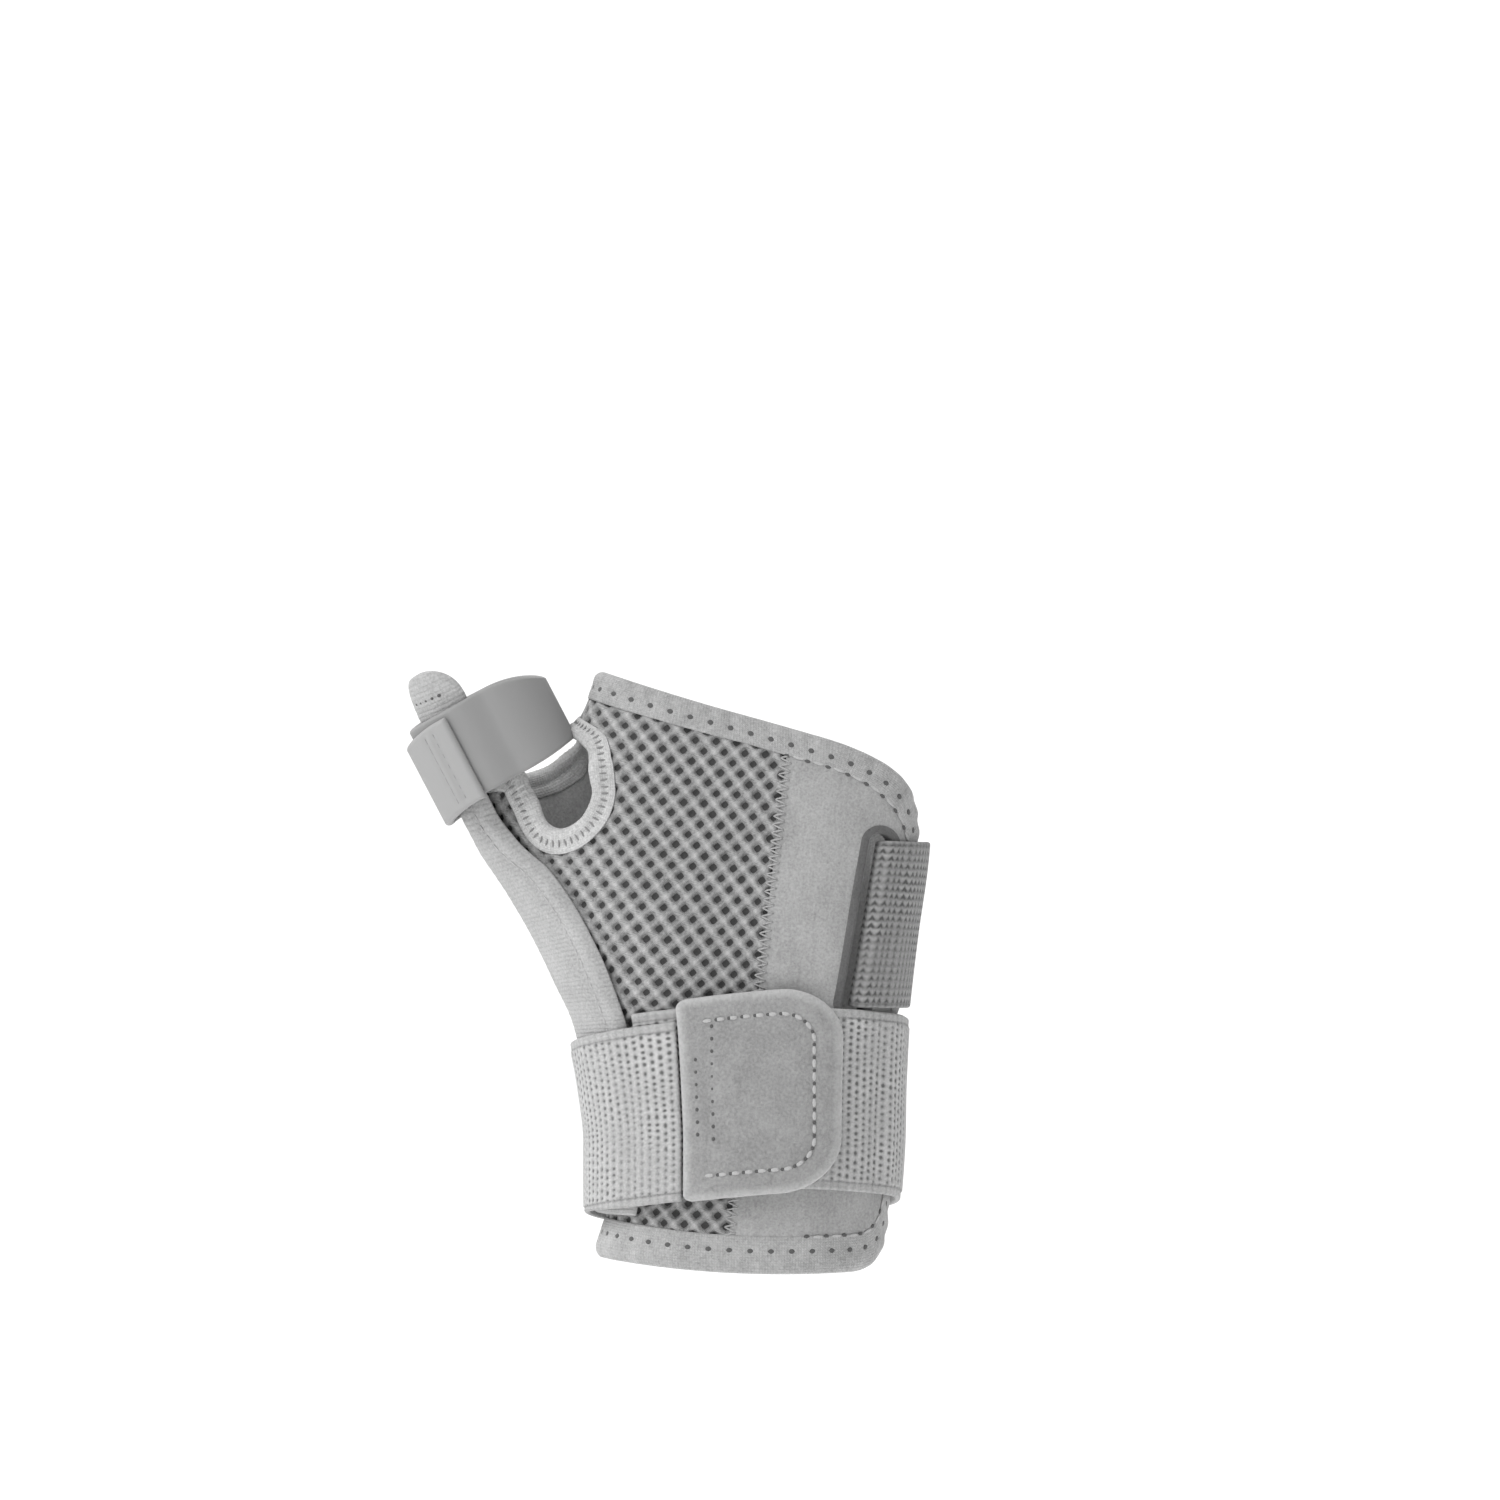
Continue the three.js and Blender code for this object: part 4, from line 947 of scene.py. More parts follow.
def perforation_tree(depth, strand, ground):
    """Sinks a rounded hole into every cell of a wall that has one, with a near-black floor in it: painted
    shade deep in the hole.
    """
    nodes = GeometryTree("perforate")
    hole = nodes.attribute("hole", "FLOAT")
    mesh, cells = nodes.extruded(nodes.given, nodes.value(hole).above(0.0), 0.0)
    mesh, floors = nodes.extruded(nodes.scaled(mesh, cells, hole), cells, -depth)
    mesh = nodes.coloured(nodes.scaled(mesh, floors, HOLE_TAPER), strand)
    # The holes' floors take the near-black colour: painted shade deep in each hole.
    mesh = nodes.coloured(mesh, ground, floors)
    rounded_off = nodes.add("GeometryNodeSubdivisionSurface", {}, {"Mesh": mesh, "Level": 1})
    return nodes.result(rounded_off.outputs[0])


def stitch_tree(stitch, count):
    """Lays threads along a line, turned by an angle from the line to one side and the other in turn."""
    nodes = GeometryTree("stitches")
    curve = nodes.add("GeometryNodeMeshToCurve", {}, {"Mesh": nodes.given}).outputs[0]
    points = nodes.add("GeometryNodeResampleCurve", {"mode": "COUNT"}, {"Curve": curve, "Count": count})
    tangent = nodes.add("GeometryNodeInputTangent", {}, {}).outputs[0]
    along = nodes.add("FunctionNodeAlignRotationToVector", {"axis": "X"}, {"Vector": tangent}).outputs[0]
    inputs = {"Rotation": along, "Vector": nodes.attribute("up", "FLOAT_VECTOR")}
    upright = nodes.add("FunctionNodeAlignRotationToVector", {"axis": "Z", "pivot_axis": "X"}, inputs)
    inputs = {
        "Points": points.outputs[0],
        "Instance": nodes.add("GeometryNodeMeshUVSphere", {}, THREAD_SPHERE).outputs["Mesh"],
        "Rotation": upright.outputs[0],
        "Scale": [size * MM for size in (stitch.length, stitch.width, stitch.height)],
    }
    laid = nodes.add("GeometryNodeInstanceOnPoints", {}, inputs).outputs[0]
    index = nodes.value(nodes.add("GeometryNodeInputIndex", {}, {}).outputs[0])
    swing = ((index % 2.0) * 2.0 - 1.0) * math.radians(stitch.zigzag) + math.radians(stitch.slant)
    turn = nodes.add("ShaderNodeCombineXYZ", {}, {2: swing}).outputs[0]
    turned = nodes.add("GeometryNodeRotateInstances", {}, {"Instances": laid, "Rotation": turn}).outputs[0]
    return nodes.result(nodes.add("GeometryNodeRealizeInstances", {}, {"Geometry": turned}).outputs[0])


def knit_tree(loop, width, cloth):
    """Raises rows of rounded loops on the outside of a strap, and leaves its selvedges plain."""
    nodes = GeometryTree("knit")
    parts = nodes.add("ShaderNodeSeparateXYZ", {}, {0: nodes.attribute("weave", "FLOAT_VECTOR")}).outputs
    u, v, outside = (nodes.value(part) for part in parts)
    _, between = knit_gaps(nodes, u, v, loop)
    knitted = v.least(width - v).above(loop.selvedge)
    lift = (1 - between) * knitted * outside * (loop.depth * MM)
    normal = nodes.add("GeometryNodeInputNormal", {}, {}).outputs[0]
    offset = nodes.add("ShaderNodeVectorMath", {"operation": "SCALE"}, {0: normal, "Scale": lift}).outputs[0]
    raised = nodes.add("GeometryNodeSetPosition", {}, {"Geometry": nodes.given, "Offset": offset}).outputs[0]
    return nodes.result(nodes.coloured(raised, cloth))


def grown(name, mesh, tree):
    """The plain mesh that a geometry tree makes of a mesh."""
    source = bpy.data.objects.new(name + "_source", mesh)
    bpy.context.scene.collection.objects.link(source)
    source.modifiers.new("tree", "NODES").node_group = tree
    evaluated = source.evaluated_get(bpy.context.evaluated_depsgraph_get())
    made = bpy.data.meshes.new_from_object(evaluated)
    made.name = name
    bpy.data.objects.remove(source)
    return made


# Pieces


def settings():
    scene = bpy.context.scene
    return scene.brace_colours, scene.brace_sizes, scene.brace_stage


def material_named(name, build, *values):
    return bpy.data.materials.get(name) or build(name, *values)


def put(name, mesh, nodes=(), material=None):
    """A finished piece in the scene, riding on the brace."""
    piece = bpy.data.objects.new(name, mesh)
    bpy.context.scene.collection.objects.link(piece)
    if material is not None:
        mesh.materials.clear()
        mesh.materials.append(material)
    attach(piece, BODY)
    if nodes:
        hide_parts(*nodes)
    return piece


def line_above(turn, z, lift):
    """A line of points at a lift over the form, with the way up at each."""
    return above(turn, z, lift), form_frame(turn, z)[2]


def stitch_line(points, normals):
    """A line of edges that stitches follow."""
    mesh = bpy.data.meshes.new("line")
    mesh.from_pydata((points * MM).tolist(), [(i, i + 1) for i in range(len(points) - 1)], [])
    set_attribute(mesh, "up", "FLOAT_VECTOR", "POINT", normals)
    return mesh


def in_threads(stitch):
    """A stitch in millimetres whose width and height are given in thicknesses of the thread."""
    thread = settings()[1].thread / MM
    return stitch._replace(width=stitch.width * thread, height=stitch.height * thread)


def sewn(name, lines, pitch, stitch, shade):
    """Stitches a pitch apart along lines of points and normals, as one piece in a thread's colour, or as dark
    dots of painted shade for needle holes.
    """
    points, faces = [], []
    for number, (line, normals) in enumerate(lines):
        count = max(2, round(run_of(line)[-1] / pitch) + 1)
        mesh = grown(f"{name}_{number}", stitch_line(line, normals), stitch_tree(stitch, count))
        faces += [[len(points) + k for k in face.vertices] for face in mesh.polygons]
        points += [tuple(vertex.co) for vertex in mesh.vertices]
    whole = bpy.data.meshes.new(name)
    whole.from_pydata(points, [], faces)
    whole.shade_smooth()
    material = material_named(shade, dull_thread, getattr(settings()[0], shade))
    return put(name, whole, material=material)


Ridge = namedtuple("Ridge", "at height reach")
Wave = namedtuple("Wave", "height along across")


def ridges(distance, *rows):
    """Height of rows of ridges, or of grooves, at a distance."""
    return sum(row.height * bell(distance - row.at, row.reach) for row in rows)


class BRACE_OT_mesh_panel(bpy.types.Operator):
    """Makes the spacer mesh over the palm side of the thumb's ball, with its rows of holes"""

    bl_idname = "brace.mesh_panel"
    bl_label = "Mesh panel"

    SUNK = 0.1
    HOLE_AT = (-13.5, 81.8)
    ROW_CLOSER = 0.25
    CELLS_RIGHT = np.arange(-60, 60)
    CELLS_UP = np.arange(-60, 20)
    WINDOW_MIDDLE = (-35, 35)
    WINDOW_REACH = (75, 80)
    TURNS = np.linspace(172, 300, 257)
    MIDDLE_TURN = 270
    PAST_THUMB_SIDE = 2
    UNDER_SEAM = 2.6
    UNDER_RIM = 0.55
    DRAWN = (14, 52)
    OPEN = 1.1
    SHUT = 0.8
    UNEVEN = 0.06
    UNEVEN_ALONG = 12.9
    UNEVEN_UP = 7.8

    def execute(self, context):
        colours, sizes, _ = settings()
        u, z, cells = self.diamonds(sizes)
        turn = self.turns_from_run(u, z)
        x = form_point(turn, z)[:, 0]
        cells = cells[self.kept(*(places[cells].mean(1) for places in (turn, z, x)))]
        outer, inner = above(turn, z, BODY_CLOTH - self.SUNK), above(turn, z, self.SUNK)
        holes = sizes.mesh_hole * self.openness(u[cells].mean(1), z[cells].mean(1))
        mesh = slab("mesh_face", outer, inner, cells, np.stack([u, z], -1), holes)
        steps = self.lattice(sizes)
        strand = material_named("mesh_strand", mesh_strand, colours.strand, self.HOLE_AT, *steps)
        # Near-black floor of the mesh holes: painted shade.
        ground = material_named("mesh_ground", loop_cloth, colours.ground)
        tree = perforation_tree(sizes.mesh_depth, strand, ground)
        piece = put("mesh_face", grown("mesh_face", mesh, tree), ["mesh_panel"])
        return {"FINISHED"}

    def openness(self, run, z):
        """How open each hole is: the mesh is drawn together towards the thumb, and no two holes are alike."""
        uneven = 1 + self.UNEVEN * np.sin(self.UNEVEN_ALONG * run + self.UNEVEN_UP * z)
        return lerp(self.OPEN, self.SHUT, ease(-run, *self.DRAWN)) * uneven

    def lattice(self, sizes):
        """Steps from a hole to its neighbours up and down to the right."""
        pitch, row, slip = sizes.mesh_pitch / MM, sizes.mesh_row / MM, sizes.mesh_slip / MM
        return np.array([pitch - slip, row - self.ROW_CLOSER]), np.array([slip, -row])

    def diamonds(self, sizes):
        """Diamond cells round the lattice of holes, over the run round the palm and the height."""
        up, down = self.lattice(sizes)
        right = up + down
        corners = np.array([right, up - down, -right, down - up]) / 2
        centres = self.HOLE_AT + (grid(self.CELLS_RIGHT, self.CELLS_UP) @ [right, up]).reshape(-1, 2)
        near = np.all(abs(centres - self.WINDOW_MIDDLE) < self.WINDOW_REACH, axis=1)
        points = centres[near][:, None] + corners
        flat, cells = np.unique(np.round(points.reshape(-1, 2), 3), axis=0, return_inverse=True)
        return flat[:, 0], flat[:, 1], cells.reshape(-1, 4)

    def turns_from_run(self, run, z):
        """The turn at a run round each level section, from the middle of the palm."""
        points = form_point(self.TURNS[None], z[:, None])
        runs = np.cumsum(np.linalg.norm(np.diff(points, axis=1), axis=-1), axis=1)
        runs = np.concatenate([np.zeros((len(z), 1)), runs], 1)
        runs -= [[np.interp(self.MIDDLE_TURN, self.TURNS, row)] for row in runs]
        return np.array([np.interp(at, row, self.TURNS) for at, row in zip(run, runs)])

    def kept(self, turn, z, x):
        """Which cells lie on the panel: inside the bound edges, up to the seam, clear of the thumb hole."""
        low, high = panel_height(PALM_OUTLINE, turn, 0), panel_height(PALM_OUTLINE, turn, 1)
        inside = (z > low) & (z < high) & (turn > PALM_OUTLINE.thumb_turn - self.PAST_THUMB_SIDE)
        inside &= x < seam_x(z) + self.UNDER_SEAM
        return inside & ~inside_loop(turn, z, rim_places(self.UNDER_RIM * RIM_BINDING))


class BRACE_OT_plain_panels(bpy.types.Operator):
    """Makes the plain brushed panels of the palm and the back"""

    bl_idname = "brace.plain_panels"
    bl_label = "Plain panels"

    UP = np.linspace(0, 1, 150)[None]
    ACROSS_PALM = np.linspace(0, 1, 62)[:, None]
    ACROSS_BACK = np.linspace(0, 1, 128)[:, None]
    PAST_THUMB_SIDE = 3
    PROUD = 0.05
    WAVES = (Wave(0.08, 9, 6.5), Wave(0.06, 3.1, -14))
    UNDER_FACING = 0.55
    UNDER_RIM = 0.5

    def execute(self, context):
        turn = lerp(seam_turn(self.UP), free_edge(PALM_OUTLINE, UNDER_BINDING.side), self.ACROSS_PALM)
        palm = self.panel("palm", PALM_OUTLINE, turn, self.off_slot)
        start = BACK_OUTLINE.thumb_turn + self.PAST_THUMB_SIDE + 0 * self.UP
        turn = lerp(start, free_edge(BACK_OUTLINE, UNDER_BINDING.side), self.ACROSS_BACK)
        back = self.panel("back", BACK_OUTLINE, turn, self.off_thumb_hole)
        return {"FINISHED"}

    def panel(self, side, outline, turn, keep):
        """One panel's wall over a grid of turns, without the cells that lie in its opening."""
        z = panel_height(outline, turn, self.UP)
        rows, columns = turn.shape
        run = run_of(form_point(turn[:, columns // 2], z[:, columns // 2]))
        turn, z = turn.ravel(), z.ravel()
        cells = quads(rows, columns) @ [columns, 1]
        cells = cells[keep(turn[cells].mean(1), z[cells].mean(1))]
        waves = sum(wave.height * np.sin(turn / wave.along + z / wave.across) for wave in self.WAVES)
        outer, inner = above(turn, z, BODY_CLOTH + self.PROUD + waves), above(turn, z, 0.0)
        mesh = slab(f"{side}_face", outer, inner, cells, np.stack([np.repeat(run, columns), z], -1))
        cloth = material_named("brushed_cloth", brushed_cloth, settings()[0].plain)
        return put(f"{side}_face", mesh, [f"{side}_panel"], cloth)

    def off_slot(self, turn, z):
        place = np.stack([form_point(turn, z)[:, 0], z], -1)
        line = SLOT_TOP - SLOT_BOTTOM
        share = np.clip((place - SLOT_BOTTOM) @ line / (line @ line), 0, 1)
        away = np.linalg.norm(place - lerp(SLOT_BOTTOM, SLOT_TOP, share[:, None]), axis=1)
        return away > SLOT.opening / 2 + self.UNDER_FACING * SLOT.facing

    def off_thumb_hole(self, turn, z):
        return ~inside_loop(turn, z, rim_places(self.UNDER_RIM * RIM_BINDING))


class BRACE_OT_bindings(bpy.types.Operator):
    """Makes the folded tapes round the palm, the back and the thumb hole, dimpled where they are sewn"""

    bl_idname = "brace.bindings"
    bl_label = "Bindings"

    OUTER_HALF = [0, 0.01, 0.035, 0.075, 0.125, 0.185, 0.25, 0.33, 0.41, 0.48]
    INNER_HALF = [0.54, 0.6, 0.66, 0.72, 0.79, 0.86, 0.92, 0.96, 0.985, 1.0]
    ACROSS = np.array(OUTER_HALF + INNER_HALF)
    WALL = np.array([0.85, 0.6, 0.36])
    CLEARANCE = 0.15
    CROWN = 0.65
    OUTER_ROUND = 0.24
    INNER_ROUND = 0.08
    STEP = 0.6
    GROOVE_DEPTH = 0.08
    GROOVE_REACH = 0.75
    DIMPLE = Ridge(0, 0.42, 0.8)
    SWELL = Ridge(0, 0.24, 1.6)
    SWELL_AT = 0.25
    SEAM = 0.6
    RIM_SEAM = 0.58
    INNER_SEAM = 0.97
    INNER_SEAM_FOLD = 0.5
    LOW_CORNER_X = 16
    BELOW_STRAP_TOP = 2
    STITCH_SHARE = 0.6
    STITCH_THREADS = (1.6, 0.5)
    EDGE_HOLE = Stitch(1.8, 1.4, 0.4)
    RIM_STITCH = Stitch(2.2, 0.85, 0.7, 90, 6)
    STITCH_SUNK = 0.12
    HOLE_SUNK = 0.2
    RIM_STITCH_SUNK = 0.1

    def execute(self, context):
        colours, sizes, _ = settings()
        tape = material_named("binding_tape", binding_tape, colours.binding)
        pitch = sizes.edge_stitch / MM
        for side, outline in (("palm", PALM_OUTLINE), ("back", BACK_OUTLINE)):
            edges = *outline_path(outline, NO_INSET), *outline_path(outline, BOUND)
            seam, inner = self.tape(f"{side}_binding", edges, tape, pitch, self.SEAM, False)
            self.edge_stitches(f"{side}_binding", [seam], pitch)
            if outline is PALM_OUTLINE:
                self.edge_stitches("palm_corner", self.corners(*inner), pitch)
        edges = [np.append(line, line[:1]) for out in (0, RIM_BINDING) for line in rim_places(out)]
        # A lighter copy of the binding tape: painted light on the thumb hole's rim.
        tape = material_named("rim_tape", binding_tape, colours.rim)
        pitch = sizes.rim_stitch / MM
        (points, normals), _ = self.tape("thumb_binding", edges, tape, pitch, self.RIM_SEAM, True)
        line = points - self.RIM_STITCH_SUNK * normals, normals
        sewn("thumb_binding_thread", [line], pitch, in_threads(self.RIM_STITCH), "rim_thread")
        return {"FINISHED"}

    def tape(self, name, edges, material, pitch, seam, closed):
        """One folded tape from an outer to an inner line of places; gives the lines of its two seams."""
        out_turn, out_z, in_turn, in_z = edges
        lift = BODY_CLOTH + BINDING_FOLD
        run = run_of(above(lerp(out_turn, in_turn, seam), lerp(out_z, in_z, seam), lift))
        at = np.linspace(0, run[-1], round(run[-1] / self.STEP) + 1)
        out_turn, out_z, in_turn, in_z = (np.interp(at, run, line) for line in edges)

        def place(share):
            return lerp(out_turn, in_turn, share), lerp(out_z, in_z, share)

        width = np.linalg.norm(form_point(*place(0)) - form_point(*place(1)), axis=1)
        stitches = round(run[-1] / pitch)
        phase = (at / run[-1] * stitches + 0.5) % 1 - 0.5
        dimple = ridges(phase * run[-1] / stitches, self.DIMPLE)
        middle, wall = BODY_CLOTH / 2, BODY_CLOTH / 2 + self.CLEARANCE
        top, bottom = [], []
        for share in self.ACROSS:
            crown = BINDING_FOLD * (1 - self.CROWN * (2 * share - 1) ** 2)
            half = wall + crown * rounded(1 - share, self.INNER_ROUND)
            half = half * rounded(share, self.OUTER_ROUND)
            pucker = (self.GROOVE_DEPTH + dimple) * bell((share - seam) * width, self.GROOVE_REACH)
            swell = ridges((share - self.SWELL_AT) * width, self.SWELL) * np.cos(2 * math.pi * phase)
            top.append(above(*place(share), middle + half - pucker - swell))
            bottom.append(above(*place(share), middle - half + pucker))
        under = [above(*place(share), middle - wall) for share in self.WALL]
        over = [above(*place(share), middle + wall) for share in self.WALL[::-1]]
        sections = np.stack(top[::-1] + bottom[1:] + under + over, 1)
        across = [-self.ACROSS[::-1], self.ACROSS[1:], 2 - self.WALL, -self.WALL[::-1], [-1.0]]
        cloth = grid(at, np.concatenate(across) * width.mean())
        mesh = tube(f"{name}_tape", sections[:-1] if closed else sections, cloth, closed)
        piece = put(f"{name}_tape", mesh, [name], material)
        inner_lift = BODY_CLOTH + self.CLEARANCE + self.INNER_SEAM_FOLD * BINDING_FOLD
        return line_above(*place(seam), lift), line_above(*place(self.INNER_SEAM), inner_lift)

    def corners(self, points, normals):
        """The parts of the inner edge's line at the palm's two free corners, which are sewn twice."""
        x, _, z = points.T
        top = (x > seam_x(z)) & (z > HAND_STRAP.high_z - self.BELOW_STRAP_TOP)
        bottom = (x > self.LOW_CORNER_X) & (z < 0)
        return [(points[part], normals[part]) for part in (top, bottom)]

    def edge_stitches(self, name, seams, pitch):
        """Thread that dips into a needle hole at each dimple; each hole is a dark dot, painted shade in the
        hole.
        """
        threads, holes = [], []
        for points, normals in seams:
            half = np.searchsorted(run_of(points), pitch / 2)
            threads.append(((points - self.STITCH_SUNK * normals)[half:-half], normals[half:-half]))
            holes.append((points - self.HOLE_SUNK * normals, normals))
        stitch = in_threads(Stitch(self.STITCH_SHARE * pitch, *self.STITCH_THREADS))
        sewn(f"{name}_thread", threads, pitch, stitch, "light_thread")
        sewn(f"{name}_holes", holes, pitch, self.EDGE_HOLE, "dark_thread")


class BRACE_OT_seams(bpy.types.Operator):
    """Makes the overlocked seam between the mesh and the plain panel, and the facing of the strap slot"""

    bl_idname = "brace.seams"
    bl_label = "Seam and slot"

    ALONG = np.linspace(0.03, 0.97, 400)
    OVERLOCK = Stitch(3.4, 0.9, 0.8, 90, 18)
    PITCH = 1.05
    PROUD = 0.15
    FACING_ACROSS = np.array([0, 0.06, 0.18, 0.36, 0.6, 0.82, 0.94, 1.0])
    FACING_PROUD = 0.35
    FACING_ROUND = 0.18
    END_POINTS = 17
    SIDE_POINTS = 50

    def execute(self, context):
        turn = seam_turn(self.ALONG)
        line = line_above(turn, panel_height(PALM_OUTLINE, turn, self.ALONG), BODY_CLOTH + self.PROUD)
        sewn("seam_overlock", [line], self.PITCH, in_threads(self.OVERLOCK), "seam_thread")
        self.facing()
        return {"FINISHED"}

    def facing(self):
        """The slot's facing, folded through the wall."""
        middle = BODY_CLOTH / 2
        top, bottom = [], []
        for share in self.FACING_ACROSS:
            turn, z = self.slot_line(SLOT.facing * share)
            half = (middle + self.FACING_PROUD) * rounded(min(share, 1 - share), self.FACING_ROUND)
            top.append(above(turn, z, middle + half))
            bottom.append(above(turn, z, middle - half))
        sections = np.stack(top[::-1] + bottom[1:-1], 1)
        run = run_of(np.concatenate([sections[:, 0], sections[:1, 0]]))
        cloth = grid(run, np.linspace(0, 2 * SLOT.facing, sections.shape[1] + 1))
        mesh = tube("slot_facing", sections, cloth, True)
        # The facing is darkened as painted shade in the slot.
        material = material_named("slot_cloth", loop_cloth, settings()[0].facing)
        put("slot_facing", mesh, ["slot_trim"], material)

    def slot_line(self, grown_by):
        """The slot's outline grown by a distance, as places: two straight sides and two round ends."""
        radius = SLOT.opening / 2 + grown_by
        lean = math.atan2(*(SLOT_TOP - SLOT_BOTTOM))
        ends = []
        for centre, start in ((SLOT_TOP, 0), (SLOT_BOTTOM, math.pi)):
            angle = np.linspace(0, math.pi, self.END_POINTS) + start - lean
            ends.append(centre + radius * np.stack([np.cos(angle), np.sin(angle)], -1))
        sides = [np.linspace(a[-1], b[0], self.SIDE_POINTS)[1:-1] for a, b in (ends, ends[::-1])]
        outline = np.concatenate([ends[0], sides[0], ends[1], sides[1]])
        return turn_at(outline[:, 0], outline[:, 1]), outline[:, 1]


STEPS_PER_LOOP = 4


def edge_rise(turn):
    """Extra height of a strap where it passes over the two free edges."""
    rise = OVER_FREE_EDGES
    up = ease(turn, rise.from_turn - rise.blend, rise.from_turn)
    return rise.lift * up * (1 - ease(turn, rise.to_turn, rise.to_turn + rise.blend))


def ribbon(name, turn, z, lift, across, edge):
    """A strap through turns and heights at lifts, with rounded edges; gives its mesh and its length."""
    scale = per_degree(turn, z)
    along = np.stack([np.gradient(turn, axis=0) * scale, np.gradient(lift, axis=0)], -1)
    out = unit(np.stack([-along[..., 1], along[..., 0]], -1))
    middle = z.shape[1] // 2
    run = run_of(above(turn, z, lift)[:, middle])
    full = rounded(np.minimum(across, across[-1] - across), edge)[None]
    full = full * rounded(np.minimum(run, run[-1] - run), edge)[:, None]
    half = WEBBING / 2 * full

    def side(sign):
        return above(turn + sign * out[..., 0] * half / scale, z, lift + sign * out[..., 1] * half)

    return shell(name, side(1), side(-1), grid(run, across)), run[-1]


class BRACE_OT_hand_strap(bpy.types.Operator):
    """Makes the ribbed webbing that folds through the slot and goes round the little-finger edge"""

    bl_idname = "brace.hand_strap"
    bl_label = "Hand strap"

    LOOP = {"along": 1.9, "depth": 0.4, "stagger": 0, "sway": 0.35, "slip": 0, "link": 0.4, "selvedge": 0.9}
    EDGE = 0.7
    CONTRAST = 1.2
    RUN = np.linspace(0, 1, 230)[:, None]
    FOLD = np.linspace(0, math.pi, 26)[1:, None]
    TAIL = np.linspace(0, 1, 12)[1:, None]

    def execute(self, context):
        colours, sizes, _ = settings()
        strap = HAND_STRAP
        loop = Loop(across=sizes.rib / MM, **self.LOOP)
        width = strap.high_z - strap.low_z
        across = spread(width, loop.across / STEPS_PER_LOOP, self.EDGE)
        z = (strap.low_z + across)[None]
        middle = BODY_CLOTH / 2
        radius = middle + GAP + WEBBING / 2
        share = (z - SLOT.bottom_z) / (SLOT.top_z - SLOT.bottom_z)
        bar = turn_at(lerp(SLOT.bottom_x, SLOT.top_x, share) + SLOT.opening / 2, z)
        fold_bar = float(np.interp(strap.fold_z, z[0], bar[0]))
        degree = float(per_degree(fold_bar, strap.fold_z))
        back = 360 + strap.back_turn
        turn = np.concatenate([
            lerp(back, bar, self.RUN),
            bar - (radius * np.sin(self.FOLD) + strap.slack) / degree,
            bar + self.TAIL * strap.tuck / degree,
        ])
        lift = np.concatenate([
            middle + radius + edge_rise(lerp(back, fold_bar, self.RUN)),
            middle + radius * np.cos(self.FOLD),
            middle - radius + 0 * self.TAIL,
        ])
        name = "hand_strap_webbing"
        mesh, length_mm = ribbon(name, turn, z + 0 * turn, lift + 0 * z, across, self.EDGE)
        cloth = material_named("ribbed_webbing", knit, colours.webbing, loop, width, self.CONTRAST)
        piece = put(name, grown(name, mesh, knit_tree(loop, width, cloth)), ["hand_strap"])
        flat = (width * MM, length_mm * MM)
        return {"FINISHED"}


def strap_middle(turn):
    """Middle height of the wrist strap's plane at a turn."""
    x, y, _ = np.moveaxis(form_point(turn, WRIST_STRAP.middle), -1, 0)
    return WRIST_STRAP.middle + WRIST_STRAP.rise_x * x + WRIST_STRAP.rise_y * y


